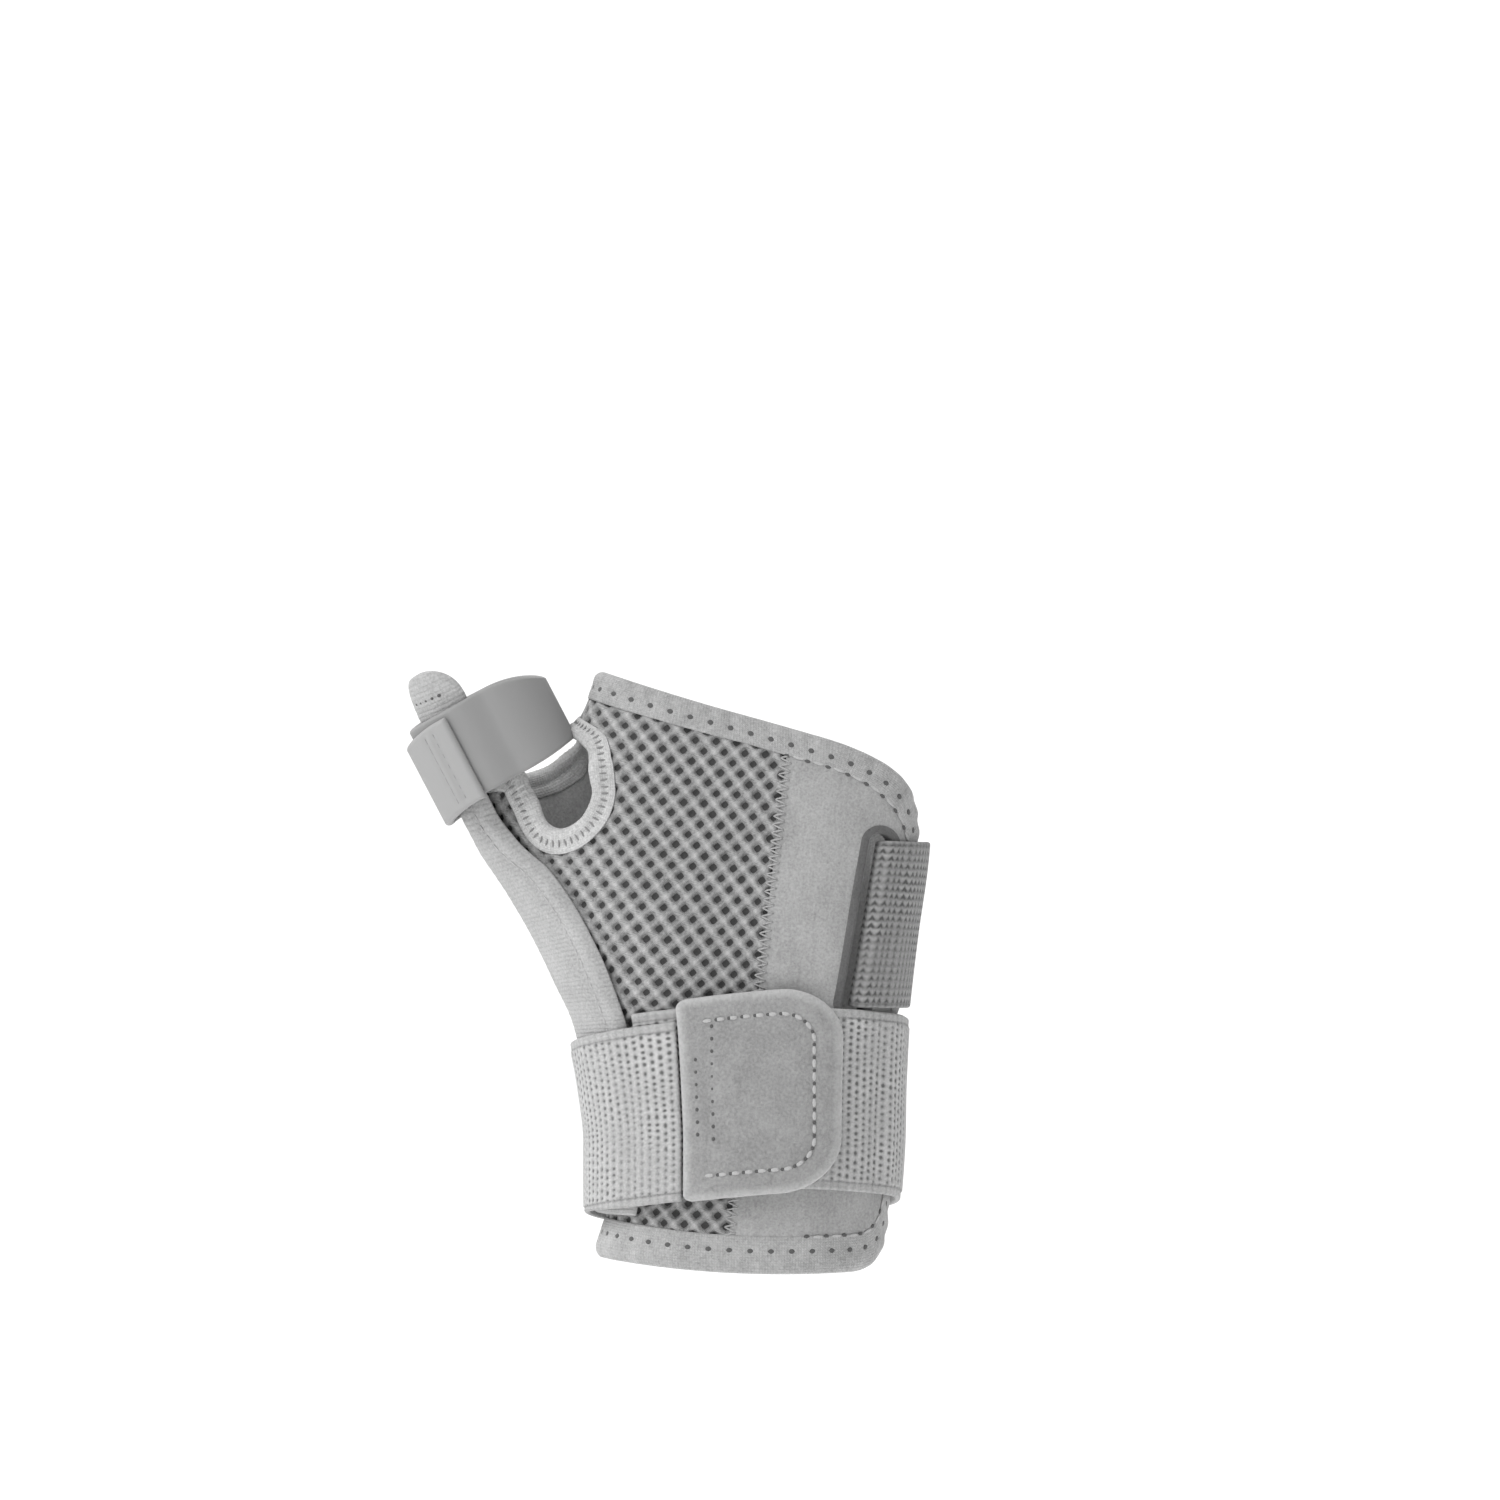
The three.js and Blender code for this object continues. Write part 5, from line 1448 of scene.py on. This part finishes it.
class BRACE_OT_wrist_strap(bpy.types.Operator):
    """Makes the rib-knit elastic round the wrist and the stitched tab that closes it"""

    bl_idname = "brace.wrist_strap"
    bl_label = "Wrist strap"

    LOOP = {"stagger": 0.5, "sway": 0, "slip": 2.0, "link": 1.0, "selvedge": 2.2}
    EDGE = 0.8
    CONTRAST = 1.0
    AROUND = 400
    SECOND_LAYER = OVER_STRAP + 1.5 * GAP
    CLIMB = (-20, -3)
    RIPPLE = Wave(0.12, 2.6, 9)
    TAB_STEP = 0.7
    TAB_EDGE = 1.1
    TAB_CORNER = 2.2
    TAB_END_STEPS = 34
    TAB_PUFF = 0.25
    TAB_BEND = WRIST_TAB.right_x - WRIST_TAB.corner
    TAB_CENTRE = WRIST_TAB.height / 2 - WRIST_TAB.corner
    TAB_AREA = 0.95
    TAB_WAVE = Wave(0.1, 4.0, 5.0)
    STITCHED = Ridge(6.0, 0.28, 1.0)
    DASH = Stitch(2.4, 2, 1)
    DOT = Stitch(1.1, 0.95, 0.4)
    DOTTED = ((-2.6, -9.0, 10.0), (0.9, -10.5, 18.0))
    END_POINTS = 60
    LINE_POINTS = 300
    DOT_POINTS = 60
    NEAR_LEFT = 4
    PROUD_NEAR_LEFT = 0.2
    PROUD = 0.06

    def execute(self, context):
        self.strap()
        self.tab()
        return {"FINISHED"}

    def strap(self):
        colours, sizes, _ = settings()
        loop = Loop(sizes.knit_length / MM, sizes.knit_width / MM, sizes.knit_depth / MM, **self.LOOP)
        width = WRIST_STRAP.width
        tab_turn = float(turn_at(WRIST_TAB.left_x, 0))
        end = 360 + tab_turn - GAP / float(per_degree(tab_turn, 0))
        turn = np.linspace(WRIST_STRAP.start_turn, end, self.AROUND)[:, None]
        back, front = (360 + float(turn_beside(0, SLEEVE_AT[edge](0))) for edge in ("back", "front"))
        over_sleeve = np.clip((turn - back) / (front - back) * 2 - 1, -1, 1)
        lift = lerp(OVER_BODY, self.SECOND_LAYER, ease(turn - back, *self.CLIMB)) + WEBBING / 2
        lift = lift + sleeve_thickness(SLEEVE_AT["pad"](0), over_sleeve) - SLEEVE_EDGE + edge_rise(turn)
        across = spread(width, loop.across / STEPS_PER_LOOP, self.EDGE)
        raised = STRAP_START.lift * (1 - ease(turn, STRAP_START.from_turn, STRAP_START.level_turn))
        z = strap_middle(turn) + raised - width / 2 + across
        wave = self.RIPPLE
        ripple = wave.height * np.sin(turn / wave.along) * np.sin(across / wave.across)
        name = "wrist_strap_elastic"
        mesh, length_mm = ribbon(name, turn + 0 * z, z, lift + ripple, across, self.EDGE)
        cloth = material_named("elastic_knit", knit, colours.elastic, loop, width, self.CONTRAST)
        piece = put(name, grown(name, mesh, knit_tree(loop, width, cloth)), ["wrist_strap"])
        flat = (WRIST_STRAP.width * MM, length_mm * MM)

    def half_height(self, x):
        right = np.clip((x - self.TAB_BEND) / WRIST_TAB.corner, 0, 1)
        left = np.clip(1 - (x - WRIST_TAB.left_x) / self.TAB_CORNER, 0, 1)
        drop = WRIST_TAB.corner * quarter_drop(right) + self.TAB_CORNER * quarter_drop(left)
        return WRIST_TAB.height / 2 - drop

    def tab_places(self, x, share):
        """Turns and heights on the tab, at places across the palm and shares from its middle (-1 to 1)."""
        turn = turn_at(x, 0)
        middle = strap_middle(turn) + WRIST_TAB.slope * x + WRIST_TAB.rise
        return turn + 0 * share, middle + self.half_height(x) * share

    def tab(self):
        left = WRIST_TAB.left_x
        span = WRIST_TAB.right_x - left
        straight = left + spread(2 * (self.TAB_BEND - left), self.TAB_STEP, self.TAB_EDGE)
        end = np.sin(np.linspace(0, math.pi / 2, self.TAB_END_STEPS))
        end = self.TAB_BEND + WRIST_TAB.corner * end
        x = np.concatenate([straight[straight < self.TAB_BEND], end])[:, None]
        across = spread(WRIST_TAB.height, self.TAB_STEP, self.TAB_EDGE)
        share = (across / WRIST_TAB.height * 2 - 1)[None]
        turn, z = self.tab_places(x, share)
        to_edge = self.half_height(x) * (1 - abs(share))
        edge = np.minimum(np.minimum(x - left, to_edge), self.right_edge_distance(x, share))
        full = rounded(edge, self.TAB_EDGE)
        wave = self.TAB_WAVE
        sewn_in = ridges(edge, self.STITCHED)
        sewn_in = sewn_in + wave.height * np.sin(z / wave.across) * np.sin(x / wave.along)
        middle = OVER_STRAP + TAB_CLOTH / 2
        outer = above(turn, z, middle + (TAB_CLOTH / 2 + self.TAB_PUFF - sewn_in) * full)
        inner = above(turn, z, middle - TAB_CLOTH / 2 * full)
        mesh = shell("wrist_tab_cloth", outer, inner, np.stack(np.broadcast_arrays(x - left, edge), -1))
        # The tab's cloth paints a highlight along its rounded edges.
        material = material_named("fleecy_tab", fleecy_cloth_edge_highlight, settings()[0].tab)
        piece = put("wrist_tab_cloth", mesh, ["wrist_tab"], material)
        flat = (span * MM, WRIST_TAB.height * MM)
        area = self.TAB_AREA * flat[0] * flat[1]
        self.tab_stitches()

    def right_edge_distance(self, x, share):
        """Distance to the round right end, or without limit left of it."""
        beyond = np.maximum(0, abs(self.half_height(x) * share) - self.TAB_CENTRE)
        inside = WRIST_TAB.corner - np.hypot(np.maximum(0, x - self.TAB_BEND), beyond)
        return np.where(x < self.TAB_BEND, np.inf, inside)

    def tab_stitches(self):
        """A dashed line inside the edge and two dotted columns at the left."""
        pitch = settings()[1].tab_stitch / MM
        corner = WRIST_TAB.corner - self.STITCHED.at
        left = WRIST_TAB.left_x + self.STITCHED.at
        angle = np.linspace(math.pi / 2, -math.pi / 2, self.END_POINTS)
        x = np.concatenate([[left], self.TAB_BEND + corner * np.cos(angle), [left]])
        rise = np.concatenate([[1], np.sin(angle), [-1]])
        height = rise * corner + np.sign(np.round(rise, 6)) * self.TAB_CENTRE
        run = run_of(np.stack([x, height], -1))
        at = np.linspace(0, run[-1], self.LINE_POINTS)
        x, height = np.interp(at, run, x), np.interp(at, run, height)
        dashes = [self.on_tab(x, height)]
        sewn("wrist_tab_thread", dashes, pitch, in_threads(self.DASH), "light_thread")
        between = (at > pitch / 2) & (at < at[-1] - pitch / 2)
        rows = [self.on_tab(x[between], height[between])]
        for shift, low, high in self.DOTTED:
            column_height = np.linspace(low, high, self.DOT_POINTS)
            rows.append(self.on_tab(left + shift + 0 * column_height, column_height))
        # The dots are needle holes, dark as painted shade.
        sewn("wrist_tab_holes", rows, pitch, self.DOT, "dark_thread")

    def on_tab(self, x, height):
        proud = np.where(x < WRIST_TAB.left_x + self.NEAR_LEFT, self.PROUD_NEAR_LEFT, self.PROUD)
        return line_above(*self.tab_places(x, height / self.half_height(x)), OVER_STRAP + TAB_CLOTH + proud)


THUMB_MIDDLE = np.array([THUMB.x, THUMB.y, THUMB.z])


def thumb_turned():
    """Rotation of the thumb's own frame: it leans to the side and a little forwards."""
    fc, fs = math.cos(math.radians(THUMB.forward)), math.sin(math.radians(THUMB.forward))
    lc, ls = math.cos(math.radians(THUMB.lean)), math.sin(math.radians(THUMB.lean))
    forward = np.array([[1, 0, 0], [0, fc, -fs], [0, fs, fc]])
    lean = np.array([[lc, 0, -ls], [0, 1, 0], [ls, 0, lc]])
    return forward @ lean


THUMB_TURNED = thumb_turned()


def thumb_point(turn, height, radius):
    """Points round the thumb: at a turn, a height along it and a distance from its middle."""
    turn, height, radius = spread_out(turn, height, radius)
    angle = np.radians(turn)
    own = np.stack([radius * np.cos(angle), radius * np.sin(angle), height], -1)
    return own @ THUMB_TURNED.T + THUMB_MIDDLE


def thumb_stand_off(turn):
    """How far the strap stands off the thumb: it rides up over the sleeve on the outside of the thumb."""
    over = OVER_SLEEVE
    sleeve = ease(turn, over.rises_from, over.rises_by) * (1 - ease(turn, over.falls_from, over.falls_by))
    return (SLEEVE_AT["pad"](THUMB.z) + over.clearance) * sleeve


class BRACE_OT_thumb_strap(bpy.types.Operator):
    """Makes the smooth strap round the thumb and its stitched end tab"""

    bl_idname = "brace.thumb_strap"
    bl_label = "Thumb strap"

    AROUND = 180
    STEP = 0.7
    EDGE = 0.8
    FRONT_LOW = 0.5
    CREASE = Wave(0.16, 7, 2.2)
    CREASED = Ridge(-6, 1, 5)
    AREA = 0.93
    TAB_STEP = 0.6
    TAB_EDGE = 1.0
    TAB_MIDDLE_TURN = 190
    TAB_PUFF = 0.1
    TAB_LINES = (Ridge(5.0, -0.45, 0.55), Ridge(8.2, -0.45, 0.55))
    TAB_LINES_FROM = (1.2, 2.6)
    PILLOW = Ridge(6.6, 0.5, 1.3)
    PILLOW_FROM = (1.0, 4.0)
    STITCH = Stitch(2.8, 1, 0.5)
    STITCH_PITCH = 2.9
    STITCH_INSET = 2.5
    STITCH_SUNK = 0.25
    LINE_POINTS = 40

    def execute(self, context):
        self.strap()
        self.tab()
        return {"FINISHED"}

    def strap(self):
        size = THUMB_STRAP
        turn = np.linspace(0, 360, self.AROUND, endpoint=False)[:, None]
        s, c = np.sin(np.radians(turn)), np.cos(np.radians(turn))
        front, back, inward = np.maximum(0, -s), np.maximum(0, s), np.maximum(0, c) ** 2
        low = size.low + self.FRONT_LOW * size.front_rise * front + size.back_rise * back
        low = low + size.inward_rise * inward
        high = size.high + size.front_rise * front - size.inward_fall * inward
        across = spread(size.high - size.low, self.STEP, self.EDGE)[None]
        height = lerp(low, high, across / across.max())
        radius = THUMB.radius + GAP + thumb_stand_off(turn) - THUMB.flatter * inward + WEBBING / 2
        crease = self.CREASE.height * np.sin(turn / self.CREASE.along + height / self.CREASE.across)
        crease = crease * ridges(height, self.CREASED) * front
        half = WEBBING / 2 * rounded(np.minimum(across, across.max() - across), self.EDGE)
        outer, inner = (thumb_point(turn, height, radius + crease + side) for side in (half, -half))
        ring = 2 * math.pi * float(radius.mean())
        cloth = grid(np.linspace(0, ring, self.AROUND + 1), across[0])
        mesh = shell("thumb_strap_loop", outer, inner, cloth, wrap=True)
        material = material_named("loop_cloth", loop_cloth, settings()[0].loop)
        piece = put("thumb_strap_loop", mesh, ["thumb_strap"], material)
        flat = ((size.high - size.low) * MM, ring * MM)
        area = self.AREA * flat[0] * flat[1]

    def tab_radius(self, turn):
        return THUMB.radius + GAP + thumb_stand_off(turn) + WEBBING + GAP + TAB_CLOTH / 2

    def tab_low(self, turn):
        size = THUMB_TAB
        return size.low - size.fall * (1 - ease(turn, size.level_turn, size.from_turn))

    def tab(self):
        size = THUMB_TAB
        width = size.high - size.low
        span = math.radians(size.from_turn - size.to_turn) * float(self.tab_radius(self.TAB_MIDDLE_TURN))
        along = spread(span, self.TAB_STEP, self.TAB_EDGE)[:, None]
        across = spread(width, self.STEP, self.TAB_EDGE)[None]
        turn = lerp(size.from_turn, size.to_turn, along / span)
        height, radius = self.tab_low(turn) + across, self.tab_radius(turn)
        edge = np.minimum(np.minimum(along, span - along), np.minimum(across, width - across))
        full = rounded(edge, self.TAB_EDGE)
        puff = self.TAB_PUFF + ridges(along, *self.TAB_LINES) * ease(edge, *self.TAB_LINES_FROM)
        puff = puff + ridges(along, self.PILLOW) * ease(edge, *self.PILLOW_FROM)
        outer = thumb_point(turn, height, radius + (TAB_CLOTH / 2 + puff) * full)
        inner = thumb_point(turn, height, radius - TAB_CLOTH / 2 * full)
        mesh = shell("thumb_tab_cloth", outer, inner, grid(along[:, 0], across[0]))
        material = material_named("tab_cloth", brushed_cloth, settings()[0].thumb_tab)
        piece = put("thumb_tab_cloth", mesh, ["thumb_tab"], material)
        flat = (width * MM, span * MM)
        steps = np.linspace(self.STITCH_INSET, width - self.STITCH_INSET, self.LINE_POINTS)
        rows = []
        for line in self.TAB_LINES:
            turn = lerp(size.from_turn, size.to_turn, line.at / span)
            radius = self.tab_radius(turn) + TAB_CLOTH / 2 - self.STITCH_SUNK
            points, over = (thumb_point(turn, self.tab_low(turn) + steps, radius + rise) for rise in (0, 1))
            rows.append((points, unit(over - points)))
        stitch = in_threads(self.STITCH)
        sewn("thumb_tab_thread", rows, self.STITCH_PITCH, stitch, "rim_thread")


def sleeve_thickness(pad, share):
    """Thickness across the sleeve, from its back edge (-1) over its crown to its front edge (1)."""
    return SLEEVE_EDGE + (pad - SLEEVE_EDGE) * (1 - np.abs(share) ** 3)


def turn_beside(z, distance, count=20):
    """The turn at a distance round the arm from the thumb side."""
    z, distance = spread_out(z, distance)
    turn = np.full(z.shape, 180.0)
    for _ in range(count):
        turn = turn + distance / count / per_degree(turn, z)
    return turn


def clear_of_wrap(points, clearance):
    """Moves points beside the thumb's ball outwards in their own section until they are clear of the form."""
    x, y, z = np.moveaxis(points, -1, 0)
    reach, depth, power = section_at(z, x, y)
    level = (np.abs(x / reach) ** power + np.abs(y / depth) ** power) ** (1 / power)
    ray = np.stack([x, y, 0 * z], -1)
    far = np.linalg.norm(ray, axis=-1)
    clears = SLEEVE_CLEARS
    share = ease(z, clears.start, clears.full) * (1 - ease(z, clears.until, clears.gone))
    short = np.maximum(0, clears.share * clearance - far * (1 - 1 / level)) * share
    return points + ray / far[..., None] * short[..., None]


def sleeve_bed(height, across):
    """Inner side of the sleeve at heights and distances across: on the wrap below, on the thumb above."""
    height, across = spread_out(height, across)
    body_z = np.minimum(height, BALL_TOP)
    lift = OVER_BODY + SLEEVE.slack + SLEEVE.over_rim * ease(height, SLEEVE.rim_from, SLEEVE.rim_by)
    on_body = above(turn_beside(body_z, across), body_z, lift)
    lean = math.radians(THUMB.lean)
    along = (height - THUMB.z + THUMB.radius * math.sin(lean)) / math.cos(lean)
    on_thumb = thumb_point(180 + np.degrees(across / THUMB.radius), along, THUMB.radius)
    share = ease(height, SLEEVE.leaves_from, SLEEVE.leaves_by)[..., None]
    return clear_of_wrap(lerp(on_body, on_thumb, share), lift)


def sleeve_normal(height, across, step=0.1):
    side = sleeve_bed(height, across + step) - sleeve_bed(height, across - step)
    up = sleeve_bed(height + step, across) - sleeve_bed(height - step, across)
    return unit(np.cross(side, up))


class BRACE_OT_sleeve(bpy.types.Operator):
    """Makes the padded stay sleeve up the thumb side, with its piped front edge"""

    bl_idname = "brace.sleeve"
    bl_label = "Stay sleeve"

    BOTTOM = SLEEVE_SECTIONS[0].z
    TIP = SLEEVE_SECTIONS[-1].z - SLEEVE.tip
    STEP = 0.7
    EDGE = 1.3
    TIP_STEPS = 44
    ACROSS_STEPS = 61
    TIP_POWER = 2.2
    TIP_FORWARD = 4.0
    TIP_FORWARD_FROM = 2
    PIPING = Ridge(1.9, 0.5, 1.1)
    CHANNEL = Ridge(4.4, -0.45, 0.8)
    PIPING_RISES = (2, 8)
    PIPING_FALLS = (-6, 4)
    QUILT_HEIGHT = 0.04
    QUILT_STEP = 0.335
    QUILTED_FROM = (2.0, 5.0)
    STITCH = Stitch(2.2, 0.8, 0.6)
    STITCH_PITCH = 3.1
    STITCH_SUNK = 0.35
    STITCHED_FROM = 6
    STITCHED_TO = 8
    LINE_POINTS = 260
    HOLE = Stitch(1.2, 0.9, 0.35)
    HOLE_PITCH = 2.6
    HOLE_SUNK = 0.1
    HOLES_ACROSS = np.linspace(6.5, 14.5, 20)
    HOLES_HEIGHT = TIP + 9.0
    HOLES_SHARE = 0.3

    def execute(self, context):
        bottom, tip = self.BOTTOM, self.TIP
        straight = bottom + spread(2 * (tip - bottom), self.STEP, self.EDGE)
        end = tip + SLEEVE.tip * np.sin(np.linspace(0, math.pi / 2, self.TIP_STEPS))
        height = np.concatenate([straight[straight < tip], end])[:, None]
        share = np.sin(np.linspace(-math.pi / 2, math.pi / 2, self.ACROSS_STEPS))[None]
        across, half = self.across(height, share)
        to_edge = half * (1 - abs(share))
        full = rounded(np.minimum(to_edge, height - bottom), self.EDGE)
        piping = ridges(half * (1 - share), self.PIPING, self.CHANNEL)
        piping = piping * ease(height - bottom, *self.PIPING_RISES)
        piping = piping * (1 - ease(height - tip, *self.PIPING_FALLS))
        quilting = self.QUILT_HEIGHT * np.sin(height / self.QUILT_STEP)
        quilting = quilting * ease(to_edge, *self.QUILTED_FROM)
        thick = (sleeve_thickness(SLEEVE_AT["pad"](height), share) + piping + quilting) * full
        rest = SLEEVE_EDGE / 2 * (1 - full)
        bed, normal = sleeve_bed(height, across), sleeve_normal(height, across)
        outer, inner = bed + normal * (rest + thick)[..., None], bed + normal * rest[..., None]
        mesh = shell("sleeve_cover", outer, inner, np.stack(np.broadcast_arrays(height, across), -1))
        material = material_named("padded_cloth", padded_cloth, settings()[0].sleeve)
        piece = put("sleeve_cover", mesh, ["stay_sleeve"], material)
        self.stitches()
        return {"FINISHED"}

    def across(self, height, share):
        """Distances across the sleeve at shares from its middle (-1 to 1), and half its width."""
        back, front = SLEEVE_AT["back"](height), SLEEVE_AT["front"](height)
        into = np.clip((height - self.TIP) / SLEEVE.tip, 0, 1)
        half = (front - back) / 2 * np.maximum(0, 1 - into**self.TIP_POWER) ** (1 / self.TIP_POWER)
        forward = ease(height - self.TIP, -self.TIP_FORWARD_FROM, SLEEVE.tip)
        return (back + front) / 2 + self.TIP_FORWARD * forward + share * half, half

    def stitches(self):
        """A row of stitches in the channel behind the piping, and the tip's bar of needle holes."""
        from_front = self.CHANNEL.at
        low, high = self.BOTTOM + self.STITCHED_FROM, self.TIP - self.STITCHED_TO
        height = np.linspace(low, high, self.LINE_POINTS)
        front = SLEEVE_AT["front"](height)
        half = (front - SLEEVE_AT["back"](height)) / 2
        row = self.line_on(height, front - from_front, 1 - from_front / half, self.STITCH_SUNK)
        stitch = in_threads(self.STITCH)
        sewn("sleeve_thread", [row], self.STITCH_PITCH, stitch, "light_thread")
        height = self.HOLES_HEIGHT + 0 * self.HOLES_ACROSS
        bar = self.line_on(height, self.HOLES_ACROSS, self.HOLES_SHARE, self.HOLE_SUNK)
        # The needle holes are dark dots of painted shade.
        sewn("sleeve_holes", [bar], self.HOLE_PITCH, self.HOLE, "dark_thread")

    def line_on(self, height, across, share, sunk):
        """A line of points sunk into the sleeve's crown, with the way up at each."""
        lift = sleeve_thickness(SLEEVE_AT["pad"](height), share) - sunk
        normal = sleeve_normal(height, across)
        return sleeve_bed(height, across) + normal * lift[:, None], normal


class BRACE_OT_stage(bpy.types.Operator):
    """Makes the pale floor, the soft lights and the camera"""

    bl_idname = "brace.stage"
    bl_label = "Stage"

    FLOOR_RADIUS = 12.0
    FLOOR_GAP = 0.25
    FLOOR_COLOUR = (0.9, 0.9, 0.9, 1)
    FLOOR_GLOW = 0.25
    WHITE = (1, 1, 1, 1)
    LIT_HEIGHT = 0.04
    KEY_FROM = (-0.8, -0.85, 0.85)
    KEY_SIZE = 0.7
    TOP_FROM = (-0.45, -0.35, 0.82)
    TOP_ANGLE = math.radians(25)
    SKY_MIDDLE = 0.78
    SKY_BACKWARDS = 1.6
    SKY_TO_LEFT = 0.3
    CLIP_END = 50.0

    def execute(self, context):
        stage = settings()[2]
        scene = context.scene
        scene.view_settings.view_transform = "Standard"
        self.floor(stage)
        self.sky(stage)
        lit = Vector((stage.view_x, 0.0, self.LIT_HEIGHT))
        key = {"energy": stage.key, "shape": "DISK", "size": self.KEY_SIZE}
        self.light("key_light", "AREA", lit, Vector(self.KEY_FROM), key)
        top = {"energy": stage.sun, "angle": self.TOP_ANGLE}
        self.light("top_light", "SUN", lit, Vector(self.TOP_FROM), top)
        camera = bpy.data.objects.new("camera", bpy.data.cameras.new("camera"))
        scene.collection.objects.link(camera)
        camera.location = (stage.view_x, -stage.distance, stage.view_z)
        camera.rotation_euler = (math.pi / 2, 0, 0)
        camera.data.lens = camera.data.sensor_width * stage.distance / stage.view_width
        camera.data.clip_end = self.CLIP_END
        scene.camera = camera
        return {"FINISHED"}

    def floor(self, stage):
        lowest = SOLID_BOX[0].z - self.FLOOR_GAP
        angle = np.linspace(0, 2 * math.pi, stage.floor_samples, endpoint=False)
        points = [(self.FLOOR_RADIUS * math.cos(a), self.FLOOR_RADIUS * math.sin(a), lowest) for a in angle]
        mesh = bpy.data.meshes.new("floor")
        mesh.from_pydata(points, [], [list(range(len(points)))])
        floor = bpy.data.objects.new("floor", mesh)
        bpy.context.scene.collection.objects.link(floor)
        finish = Finish("pale_floor", roughness=0.95, sheen=0.0)
        finish.constants({
            "Base Color": self.FLOOR_COLOUR,
            "Emission Color": self.WHITE,
            "Emission Strength": self.FLOOR_GLOW,
        })
        mesh.materials.append(finish.material)

    def sky(self, stage):
        """A sky that is bright behind the brace and dim before it."""
        world = bpy.data.worlds.new("pale_sky")
        world.use_nodes = True
        bpy.context.scene.world = world
        nodes = Nodes(world.node_tree)
        way = nodes.add("ShaderNodeTexCoord", {}, {}).outputs["Generated"]
        x, y, _ = (nodes.value(part) for part in nodes.add("ShaderNodeSeparateXYZ", {}, {0: way}).outputs)
        level = self.SKY_MIDDLE + y * self.SKY_BACKWARDS - x * self.SKY_TO_LEFT
        background = nodes.tree.nodes["Background"]
        background.inputs["Color"].default_value = self.WHITE
        nodes.tree.links.new(level.clamped(stage.dim, stage.sky).socket, background.inputs["Strength"])

    def light(self, name, kind, lit, offset, values):
        """A light that shines from an offset on what it lights."""
        data = bpy.data.lights.new(name, kind)
        for setting, value in values.items():
            setattr(data, setting, value)
        lamp = bpy.data.objects.new(name, data)
        bpy.context.scene.collection.objects.link(lamp)
        lamp.location = lit + offset
        lamp.rotation_euler = (-offset).to_track_quat("-Z", "Y").to_euler()


OPERATORS = (
    BRACE_OT_stage,
    BRACE_OT_mesh_panel,
    BRACE_OT_plain_panels,
    BRACE_OT_bindings,
    BRACE_OT_seams,
    BRACE_OT_hand_strap,
    BRACE_OT_wrist_strap,
    BRACE_OT_thumb_strap,
    BRACE_OT_sleeve,
)


class BRACE_PT_panel(bpy.types.Panel):
    """Lists the steps that dress the brace"""

    bl_idname = "BRACE_PT_panel"
    bl_label = "Wrist and thumb brace"
    bl_space_type = "VIEW_3D"
    bl_region_type = "UI"
    bl_category = "Brace"

    def draw(self, context):
        for operator in OPERATORS:
            self.layout.operator(operator.bl_idname)
        for group in settings():
            box = self.layout.box()
            for name in group.__annotations__:
                box.prop(group, name)


GROUPS = {"brace_colours": BraceColours, "brace_sizes": BraceSizes, "brace_stage": BraceStage}
CLASSES = (*GROUPS.values(), *OPERATORS, BRACE_PT_panel)


def register():
    for cls in CLASSES:
        bpy.utils.register_class(cls)
    for name, group in GROUPS.items():
        setattr(bpy.types.Scene, name, PointerProperty(type=group))


def unregister():
    for name in GROUPS:
        delattr(bpy.types.Scene, name)
    for cls in reversed(CLASSES):
        bpy.utils.unregister_class(cls)


def main():
    register()
    bpy.ops.brace.stage()
    bpy.ops.brace.mesh_panel()
    bpy.ops.brace.plain_panels()
    bpy.ops.brace.bindings()
    bpy.ops.brace.seams()
    bpy.ops.brace.hand_strap()
    bpy.ops.brace.wrist_strap()
    bpy.ops.brace.thumb_strap()
    bpy.ops.brace.sleeve()
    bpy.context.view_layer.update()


if __name__ == "__main__":
    main()
